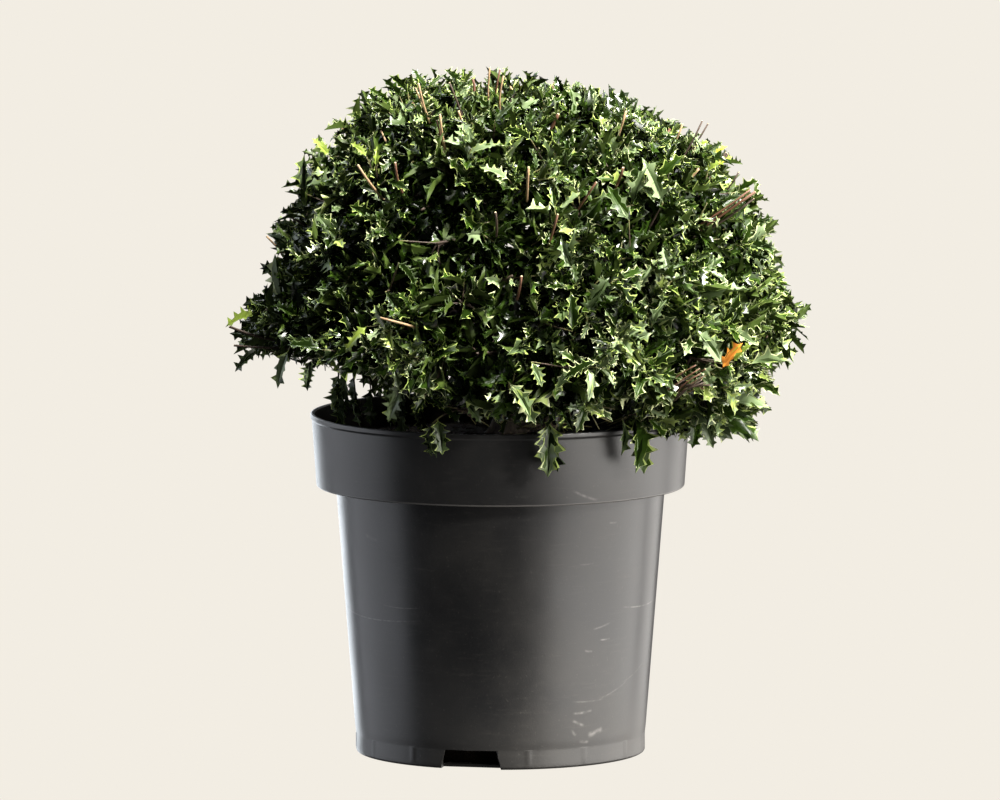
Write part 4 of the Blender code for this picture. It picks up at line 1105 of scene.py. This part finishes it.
def holly_leaf(spines, belly, spine, fold, curl, ripple, phase, fine=True):
    """A leaf of unit length along +X: points, triangles, and each triangle's zone.

    Zone 0 is the margin with its spines, zone 1 the blade and zone 2 the underside.
    """
    points, triangles, zones = [], [], []

    def half_width(u):
        return belly * math.sin(math.pi * min(max(u, 0.0), 1.0) ** 0.85) ** 0.7

    def put(x, y, swing=0.0):
        wave = ripple * math.sin(phase + 8.0 * x + (2.1 if y < 0 else 0.0)) * abs(y) / belly
        drop = curl * max(0.0, x - PETIOLE) ** 2
        points.append((x, y, 2.0 * fold * abs(y) - drop + wave + swing))
        return len(points) - 1

    def stitch(low, high, zone, side):
        """Triangles between two lines of points that both run from the petiole to the tip."""
        i, j = 0, 0
        while i < len(low) - 1 or j < len(high) - 1:
            step_low = i < len(low) - 1 and (
                j == len(high) - 1 or points[low[i + 1]][0] <= points[high[j + 1]][0])
            corners = (low[i], low[i + 1] if step_low else high[j + 1], high[j])
            if len(set(corners)) == 3:
                triangles.append(corners if side > 0 else corners[::-1])
                zones.append(zone)
            i, j = (i + 1, j) if step_low else (i, j + 1)

    for side in (1.0, -1.0):
        tip = put(1.0, 0.0)
        edge = [put(0.0, side * 0.010), put(PETIOLE, side * 0.014)]
        line = [put(0.0, side * 0.004), put(PETIOLE, side * 0.005)]
        middle = [put(PETIOLE, 0.0)]
        centre = [put(0.0, 0.0), put(PETIOLE, 0.0)]
        under = [put(PETIOLE, side * 0.012)]
        half_base = SPINE_BASE / (spines + 0.42)
        for k in range(spines):
            u = (k + 0.62) / (spines + 0.42)
            x = PETIOLE + (1.0 - PETIOLE) * u
            swing = 0.055 * math.sin(phase + 2.4 * k + side)
            reach = half_width(u) + spine * (0.72 + 0.28 * math.sin(math.pi * u))
            for step, width, inset, lift in (
                (-half_base, half_width(u - half_base), MARGIN, 0.0),
                (half_base * SPINE_SWEEP, reach, 3.0 * MARGIN, swing),
                (half_base, half_width(u + half_base), MARGIN, 0.0),
            ):
                edge.append(put(x + step, side * width, lift))
                line.append(put(x + step, side * max(width - inset, width * 0.4), lift * 0.6))
            middle.append(put(x, side * half_width(u) * 0.42, 0.010))
            centre.append(put(x, 0.0, -0.004))
            under.append(put(x, side * half_width(u) * 0.96))
        stitch(line + [tip], edge + [tip], 0, side)
        if fine:
            stitch(middle + [tip], line[1:] + [tip], 1, side)
            stitch(centre[1:] + [tip], middle + [tip], 1, side)
        else:
            stitch(centre + [tip], line + [tip], 1, side)
        below = [put(PETIOLE, 0.0, -0.012), put(0.5, 0.0, -0.014), tip]
        stitch(below, under + [tip], 2, -side)
    return np.array(points), np.array(triangles), np.array(zones)


def leaf_part(root, along, side, face, size, colouring, fine, form):
    """A placed leaf's points and triangles, and the colours its margin and blade were dealt."""
    leaf_points, triangles, zones = leaf_shapes[fine][form]
    x, y, z = leaf_points[:, :1], leaf_points[:, 1:2], leaf_points[:, 2:]
    points = root + size * (x * along + y * side + z * face)
    colours = np.full(len(zones), UNDER)
    for zone, shares in enumerate(COLOURINGS[colouring]):
        found = np.flatnonzero(zones == zone)
        choices = np.array([colour for colour, _ in shares])
        weights = np.array([share for _, share in shares], float)
        weights = weights / weights.sum()
        main = paint.choice(choices, p=weights)
        picked = paint.choice(choices, size=(len(found) + 1) // 2, p=weights)
        picked = np.where(paint.random(len(picked)) < STEADY[zone], main, picked)
        colours[found] = np.repeat(picked, 2)[:len(found)]
    return points, triangles, colours


def dealt(chance, shares):
    """One of several things, each with its share of the chance."""
    pick = chance.random() * sum(share for _, share in shares)
    for thing, share in shares:
        pick -= share
        if pick <= 0.0:
            return thing
    return shares[-1][0]


def scattered(chance, spread):
    return np.array([chance.gauss(0.0, spread) for _ in range(3)])


def common_colouring(point, chance):
    """Paints more cream and lime on the right than on the left or the sheared top: painted light from the
    right, painted shade on the left.
    """
    if chance.uniform(*TOP_FROM) < point[2]:
        return dealt(chance, COMMON_TOP)
    return dealt(chance, COMMON_RIGHT if chance.uniform(*RIGHT_FROM) < point[0] else COMMON_LEFT)


def colouring_of(point, chance):
    for colouring, place, spread in accents:
        if np.linalg.norm(point - place) < spread:
            return colouring
    return common_colouring(point, chance)


def hem_height(points):
    """How low the leaves outside the pot's mouth hang: lowest on the right, highest at the hollow."""
    bearing = np.arctan2(points[..., 1], points[..., 0])
    hollow = HEM_HOLLOW * fade(from_hollow(bearing), math.radians(HEM_HOLLOW_SPREAD))
    gap = HEM_GAP * fade(bearing - math.radians(HEM_GAP_BEARING), math.radians(HEM_GAP_SPREAD))
    return HEM_HEIGHT - HEM_TILT * np.cos(bearing) + hollow + gap


def set_leaf(mass, root, along, face, length, colouring, chance, free=False, fine=True):
    """Adds a leaf where it is clear of the pot, shorter if it has to be.

    A leaf that isn't free also stays in the crown's reach and above its hem. Deep in the crown, and a little
    further out near the top, it takes the darker shaded colouring, painted shade, and deeper still it is made
    with fewer triangles.
    """
    side = unit(np.cross(face, along))
    face = np.cross(along, side)
    for share in SHORTENED:
        size = length * share
        checks = np.array([
            root + along * size,
            root + (along * 0.5 + side * 0.24 + face * 0.1) * size,
            root + (along * 0.5 - side * 0.24 + face * 0.1) * size,
            root + along * size * 0.75,
        ])
        heading = unit(checks[0] - HEART)
        reached = np.max(share_of(checks)) - SHOULDER_BULGE * shoulder(heading)
        outside = np.hypot(checks[:, 0], checks[:, 1]) > HEM_RADIUS
        too_low = np.any(outside & (checks[:, 2] < hem_height(checks)))
        if (free or (reached < LEAF_TIP_SHARE and not too_low)) and clear_of_pot(checks):
            if not free:
                fine = reached > INNER_SHARE
                # Painted shade: deep leaves take the darker shaded colouring
                shaded = reached < SHADED_SHARE + TOP_SHADED_MORE * max(0.0, heading[2])
                colouring = "shaded" if shaded else colouring
            form = chance.randrange(LEAF_FORMS)
            leaves[mass].append((root, along, side, face, size, colouring, fine, form))
            return


def hang_spray(root, lead, tip, count, lengths, colouring, chance,
               drop=1.0, spread=1.0, spacing=1, fine=True):
    """A shoot that hangs free, with its leaves splayed and pointing down or, with less drop, outwards."""
    mass = mass_of(root)
    line = bent_line(root, lead, tip, 8)
    wood[mass].append((line, TWIG_RADIUS * 1.2, TWIG_TIP_RADIUS, TWIG_SIDES))
    outward = unit(np.array((tip[0], tip[1], 0.0)))
    sideways = np.array((-outward[1], outward[0], 0.0))
    for k in range(count):
        place = line[max(1, len(line) - 1 - spacing * (k // 2))]
        splay = (-1.0) ** k * (0.16 + 0.15 * (k // 2)) + chance.uniform(-0.10, 0.10)
        pointing = unit(np.array((0.0, 0.0, -drop)) + sideways * splay * spread
                        + outward * (chance.uniform(0.0, 0.32) + 1.3 * (1.0 - drop)))
        face = outward * drop + np.array((0.0, -0.5, 1.35 - drop)) + sideways * chance.uniform(-0.55, 0.55)
        length = chance.uniform(*lengths)
        set_leaf(mass, place, pointing, face, length, colouring, chance, free=True, fine=fine)


accents = []
for colouring, across, height, spread in ACCENTS:
    across, height, spread = metres(across, height, spread)
    accents.append((colouring, front_point(across, height), spread))

# For each mass, every leaf as its root, three axes, length, colouring, fineness and form
leaves = {mass: [] for mass in headings}
chance = random.Random(LEAF_SEED + 2)
for bearing, out, above, count, length, drop, spread, colouring in SPRAYS:
    out, above, length = metres(out, above, length)
    tip = compass(bearing) * (RIM_RADIUS + out) + np.array((0.0, 0.0, POT_HEIGHT + above))
    root = nearest_end(shoots[mass_of(tip)], tip)[-1]
    lead = (root + tip) / 2 + np.array((0.0, 0.0, SPRAY_RISE))
    hang_spray(root, lead, tip, count, (length * 0.85, length), colouring, chance, drop, spread)
for across, high, low, count in TUFTS:
    across, high, low = metres(across, high, low)
    root = np.array((across + chance.uniform(-0.004, 0.004), chance.uniform(*TUFT_DEPTHS), high))
    tip = np.array((across, root[1] + chance.uniform(-0.01, 0.01), low + TUFT_LEAF_DROP))
    colouring = chance.choice(TUFT_COLOURINGS)
    hang_spray(root, (root + tip) / 2, tip, count, TUFT_LENGTHS, colouring, chance,
               spread=0.5, spacing=2, fine=False)

chance = random.Random(LEAF_SEED + 1)
for mass, line, direction in twigs:
    colouring = colouring_of(line[-1], chance)
    inwards = line[::-1]
    lengths = np.concatenate([[0.0], np.cumsum(np.linalg.norm(np.diff(inwards, axis=0), axis=1))])
    along = unit(unit(line[-1] - line[-2]) + direction * 0.25 + np.array((0.0, 0.0, 0.15)))
    across = unit(np.cross(along, [chance.uniform(-1, 1) for _ in range(3)]))
    other = np.cross(along, across)
    shorter = 1.0 - (1.0 - TOP_LEAF_SHARE) * max(0.0, direction[2]) ** 0.7
    full_length = chance.uniform(*LEAF_LENGTHS) * shorter
    for k, (step, angle, size) in enumerate(zip(PAIR_STEPS, PAIR_ANGLES, PAIR_SIZES)):
        if step > lengths[-1] * 0.9:
            break
        root = np.array([np.interp(step, lengths, inwards[:, axis]) for axis in range(3)])
        for turn in (1.0, -1.0):
            if chance.random() < LOST_LEAVES:
                continue
            slope = math.radians(angle + chance.uniform(-12.0, 12.0))
            out = (across if k % 2 == 0 else other) * turn
            pointing = along * math.cos(slope) + out * math.sin(slope)
            pointing = unit(pointing + np.array((0.0, 0.0, -0.10)) + scattered(chance, 0.12))
            face = along * math.sin(slope) - out * math.cos(slope)
            face = face + np.array((0.0, 0.0, 0.30)) + scattered(chance, 0.28)
            colour = colouring if chance.random() < OWN_COLOURING else common_colouring(root, chance)
            length = full_length * size * chance.uniform(0.88, 1.1)
            set_leaf(mass, root, pointing, face, length, colour, chance)

chance = random.Random(LEAF_SEED + 4)
for across, up, tip_across, tip_up, colouring in LONE_LEAVES:
    across, up, tip_across, tip_up = metres(across, up, tip_across, tip_up)
    root = front_point(across, up, LONE_SHARE if up > LOW_LONE_HEIGHT else LOW_LONE_SHARE)
    mass = mass_of(root)
    foot = nearest_end(shoots[mass], root)[-1]
    stem = bent_line(foot, (foot + root) / 2, root, 5)
    wood[mass].append((stem, TWIG_RADIUS, TWIG_TIP_RADIUS, TWIG_SIDES))
    span = np.array((tip_across - across, 0.0, tip_up - up))
    pointing = unit(unit(span) + np.array((0.0, -0.30, 0.0)))
    face = np.array((chance.uniform(-0.4, 0.3), -0.8, 0.8))
    set_leaf(mass, root, pointing, face, np.linalg.norm(span) * 1.05, colouring, chance, free=True)
make_twigs()

chance = random.Random(LEAF_SEED)
leaf_shapes = {True: [], False: []}
for k in range(LEAF_FORMS):
    form = [chance.uniform(*limits) for limits in FORM_RANGES]
    leaf_shapes[True].append(holly_leaf(LEAF_SPINES[k % len(LEAF_SPINES)], *form))
    leaf_shapes[False].append(holly_leaf(min(LEAF_SPINES), *form, fine=False))
leaf_materials = [new_material(name, colour, roughness, Specular_IOR_Level=gloss)
                  for name, colour, roughness, gloss in LEAF_COLOURS]
paint = np.random.default_rng(LEAF_SEED)
for mass, placed in leaves.items():
    mesh = joined_mesh(f"leaves_{mass}", [leaf_part(*leaf) for leaf in placed])
    ride_root(make_object(f"leaves_{mass}", mesh, *leaf_materials), "foliage", f"foliage_{mass}")


# The cut shoots: bare ends that the shears left standing out of the clipped surface, red-brown or
# dark brown with pale cut faces, or tan, which is their pale bark and painted light where the light catches
# them, and a few dry twigs caught low on the right. They grow from the crown.

# Each that shows in front: foot and tip, across and up, its radius, all in millimetres, and its wood
CUT_SHOOTS = (
    (-76.5, 645, -81, 668, 1.5, "tan"), (-58.5, 612, -59.5, 636, 1.5, "tan"),
    (-80, 650, -84, 664, 1, "tan"), (-61, 614, -62.5, 630, 1.1, "red"),
    (-127.5, 564, -140.5, 586, 1.6, "tan"), (-13.5, 662, -10.5, 685, 1.2, "tan"),
    (-6.5, 660, -0.5, 683, 1.1, "red"), (-42.5, 650, -50.5, 669, 1.2, "brown"),
    (-1, 658, 3, 676, 1.2, "tan"), (-221.5, 500, -232.5, 517, 1.2, "tan"),
    (188.5, 602, 200.2, 632, 1, "brown"), (193.5, 606, 206.5, 630, 1, "brown"),
    (219.5, 588, 226.5, 603, 1.1, "brown"), (222.5, 588, 230.5, 603, 1.1, "brown"),
    (230.5, 566, 236.5, 581, 1, "brown"), (219.5, 535, 251.5, 560, 1.7, "red"),
    (216.5, 539, 246.5, 562, 1.3, "red"), (222.5, 532, 250, 553.5, 1.3, "brown"),
    (174.5, 606, 180.5, 628.4, 1.1, "tan"), (-240, 413, -269, 426.5, 1.6, "brown"),
    (-234, 403, -264, 407.5, 1.3, "brown"), (-94.5, 425, -117.5, 434, 1.4, "tan"),
    (26.5, 563, 27.5, 583, 1.5, "tan"), (50, 514, 56, 536, 1.4, "red"), (80, 548, 94, 568, 1.2, "red"),
    (120, 618, 124, 640, 1.4, "tan"), (118, 570, 120.5, 583, 1.6, "red"),
    (-106, 572, -103.5, 588, 1.5, "red"), (16.5, 457, 20.5, 475, 1.5, "red"),
    (-6, 524, -5, 538, 1.4, "brown"),
)
CUT_SLIMMER = 0.82
CUT_TAPER = 1.15
CUT_SIDES = 6
CUT_SHOOTS_AROUND = 70
CUT_AROUND_SHARE = 0.88
CUT_RADII = (0.0010, 0.0015)
CUT_LENGTHS = (0.016, 0.028)
DRY_TWIGS = 14
DRY_TWIG_PLACE = (0.1840, 0.3660, 0.2000, 0.3760)
DRY_TWIG_SHARE = 0.93
DRY_TWIG_RADIUS = 0.0006
WOODS = ("tan", "red", "brown")


def cut_part(line, radius, wood_kind):
    """A cut shoot's points and triangles. The last triangles are its flat cut face."""
    points, triangles = tube_parts(line, radius * CUT_TAPER, radius, CUT_SIDES)
    points[-1] = line[-1]
    of_bark = np.arange(len(triangles)) < len(triangles) - CUT_SIDES
    return points, triangles, np.where(of_bark, WOODS.index(wood_kind), len(WOODS))


chance = random.Random(LEAF_SEED + 3)
cut_lines = []
for across, up, tip_across, tip_up, radius, wood_kind in CUT_SHOOTS:
    across, up, tip_across, tip_up, radius = metres(across, up, tip_across, tip_up, radius)
    foot = front_point(across, up)
    run = np.array((tip_across - across, -0.006, tip_up - up))
    inwards = unit(HEART - foot)
    lead = foot + inwards * 0.004 + scattered(chance, 0.0012)
    line = bent_line(foot - run * 0.2 + inwards * 0.020, lead, foot + run, 5)
    cut_lines.append((line, radius * CUT_SLIMMER, wood_kind))
for direction in even_directions(CUT_SHOOTS_AROUND, 0.06, LEAF_SEED, -0.1):
    if direction[1] < -0.35 and direction[2] < 0.8:
        continue
    foot = crown_point(direction, CUT_AROUND_SHARE)
    sway = scattered(chance, 0.35) + np.array((0.0, 0.0, 0.35))
    tip = foot + unit(direction + sway) * chance.uniform(*CUT_LENGTHS)
    bow = scattered(chance, 0.0015)
    wood_kind = dealt(chance, (("tan", 0.45), ("red", 0.25), ("brown", 0.30)))
    line = bent_line(foot, (foot + tip) / 2 + bow, tip, 5)
    cut_lines.append((line, chance.uniform(*CUT_RADII), wood_kind))
across, up, tip_across, tip_up = DRY_TWIG_PLACE
for _ in range(DRY_TWIGS):
    foot = front_point(across + chance.gauss(0.0, 0.006), up + chance.gauss(0.0, 0.005), DRY_TWIG_SHARE)
    run = np.array((tip_across - across, -0.004, tip_up - up)) + scattered(chance, 0.006)
    bow = scattered(chance, 0.002)
    wood_kind = dealt(chance, (("tan", 0.15), ("red", 0.25), ("brown", 0.60)))
    cut_lines.append((bent_line(foot - run * 0.5, foot + bow, foot + run, 5), DRY_TWIG_RADIUS, wood_kind))
# Tan: the cut shoots' pale bark, and painted light where the light catches them
tan_wood = new_material("tan_wood", (0.330, 0.215, 0.115), 0.6)
red_wood = new_material("red_wood", (0.130, 0.058, 0.030), 0.6)
cut_wood = new_material("cut_wood", (0.500, 0.400, 0.240), 0.7)
mesh = joined_mesh("cut_shoots", [cut_part(*cut_line) for cut_line in cut_lines])
ride_root(make_object("cut_shoots", mesh, tan_wood, red_wood, brown_twig, cut_wood), "bark")


# The ground and the light: a pale studio floor with a plain backdrop all round. A small hard lamp high
# on the right and front is the sun, wide soft panels stand on both sides, and cooler ones behind.
BACKDROP_COLOUR = (0.890, 0.847, 0.768)
BACKDROP_RADIUS = 60.0
FLOOR_HALF = 50.0
FLOOR_DROP = -0.0004
SKY_COLOUR = (0.92, 0.96, 1.0, 1.0)
SKY_STRENGTH = 0.032
CAMERA_DISTANCE = 12.0
CAMERA_AIM = Vector((-0.0005, 0.0, 0.3525))
CAMERA_RISE = 1.3792
CAMERA_TILT = 7.0
LIGHT_CENTRE = 0.4

# Each lamp: its name, its bearing from the front round to the right, elevation and distance, the height
# it aims at, its width and height, its watts and its colour
LAMPS = (
    ("key_light", 50, 57, 2.2, 0.42, (0.28, 0.28), 200, (1.0, 0.975, 0.91)),
    ("side_light", 80, -5, 2.6, 0.35, (4.8, 2.2), 112, (1.0, 0.965, 0.92)),
    ("far_side_light", 140, -4, 2.6, 0.35, (1.1, 2.2), 15, (1.0, 0.965, 0.92)),
    ("low_key_light", 48, 20, 2.2, 0.42, (0.28, 0.28), 27, (1.0, 0.98, 0.93)),
    ("front_side_light", 31, -3, 2.6, 0.35, (0.8, 2.0), 4, (1.0, 0.965, 0.92)),
    ("left_light", -103, -4, 2.6, 0.35, (3.0, 2.2), 23, (0.90, 0.93, 1.0)),
    ("high_left_light", -118, 34, 2.6, 0.42, (2.0, 1.6), 25, (0.84, 0.92, 1.0)),
    ("edge_light", -160, -4, 2.6, 0.35, (1.2, 2.0), 25, (0.88, 0.94, 1.0)),
    ("back_light", -168, 38, 2.6, 0.42, (1.6, 1.2), 30, (0.94, 0.97, 1.0)),
)


def glowing_material(name, colour):
    material = bpy.data.materials.new(name)
    material.use_nodes = True
    tree = material.node_tree
    tree.nodes.clear()
    glow = tree.nodes.new("ShaderNodeEmission")
    glow.inputs["Color"].default_value = (*colour, 1.0)
    surface = tree.nodes.new("ShaderNodeOutputMaterial")
    tree.links.new(glow.outputs[0], surface.inputs["Surface"])
    return material


def only_seen(piece):
    """A stage piece that the camera sees and that neither lights the plant nor shades it."""
    piece.visible_diffuse = piece.visible_glossy = piece.visible_transmission = False
    piece.visible_shadow = False


def add_lamp(name, place, aim, size, power, colour):
    lamp = bpy.data.lights.new(name, "AREA")
    lamp.shape = "RECTANGLE"
    lamp.size, lamp.size_y = size
    lamp.energy = power
    lamp.color = colour
    made = bpy.data.objects.new(name, lamp)
    bpy.context.scene.collection.objects.link(made)
    made.location = place
    made.visible_camera = False
    made.rotation_euler = (Vector(aim) - Vector(place)).to_track_quat("-Z", "Y").to_euler()


backdrop_mesh = bpy.data.meshes.new("backdrop")
working = bmesh.new()
bmesh.ops.create_uvsphere(working, u_segments=48, v_segments=24, radius=BACKDROP_RADIUS)
working.to_mesh(backdrop_mesh)
working.free()
only_seen(make_object("backdrop", backdrop_mesh, glowing_material("backdrop", BACKDROP_COLOUR)))

floor_mesh = bpy.data.meshes.new("floor")
floor_corners = [(x * FLOOR_HALF, y * FLOOR_HALF, 0.0) for x, y in ((-1, -1), (1, -1), (1, 1), (-1, 1))]
floor_mesh.from_pydata(floor_corners, [], [(0, 1, 2, 3)])
floor_piece = make_object("floor", floor_mesh, glowing_material("floor", BACKDROP_COLOUR))
floor_piece.location.z = FLOOR_DROP
only_seen(floor_piece)

world = bpy.data.worlds.new("studio")
bpy.context.scene.world = world
world.use_nodes = True
sky = world.node_tree.nodes["Background"]
sky.inputs["Color"].default_value = SKY_COLOUR
sky.inputs["Strength"].default_value = SKY_STRENGTH

for name, bearing, elevation, distance, aim, size, power, colour in LAMPS:
    turn, lift = math.radians(bearing), math.radians(elevation)
    level = distance * math.cos(lift)
    place = (level * math.sin(turn), -level * math.cos(turn), LIGHT_CENTRE + distance * math.sin(lift))
    add_lamp(name, place, (0.0, 0.0, aim), size, power, colour)
add_lamp("floor_bounce", (0.04, -0.28, -0.002), (0.04, -0.28, 1.0), (0.70, 0.20), 0.08, (1.0, 0.96, 0.90))

camera_data = bpy.data.cameras.new("camera")
camera_data.lens = 432.0
camera_data.sensor_width = 36.0
camera_data.clip_end = 200.0
camera = bpy.data.objects.new("camera", camera_data)
bpy.context.scene.collection.objects.link(camera)
camera_back = CAMERA_DISTANCE * math.cos(math.radians(CAMERA_TILT))
camera.location = CAMERA_AIM + Vector((0.0, -camera_back, CAMERA_RISE))
camera.rotation_euler = (CAMERA_AIM - camera.location).to_track_quat("-Z", "Y").to_euler()
bpy.context.scene.camera = camera
bpy.context.scene.view_settings.view_transform = "Standard"
bpy.context.scene.view_settings.look = "None"
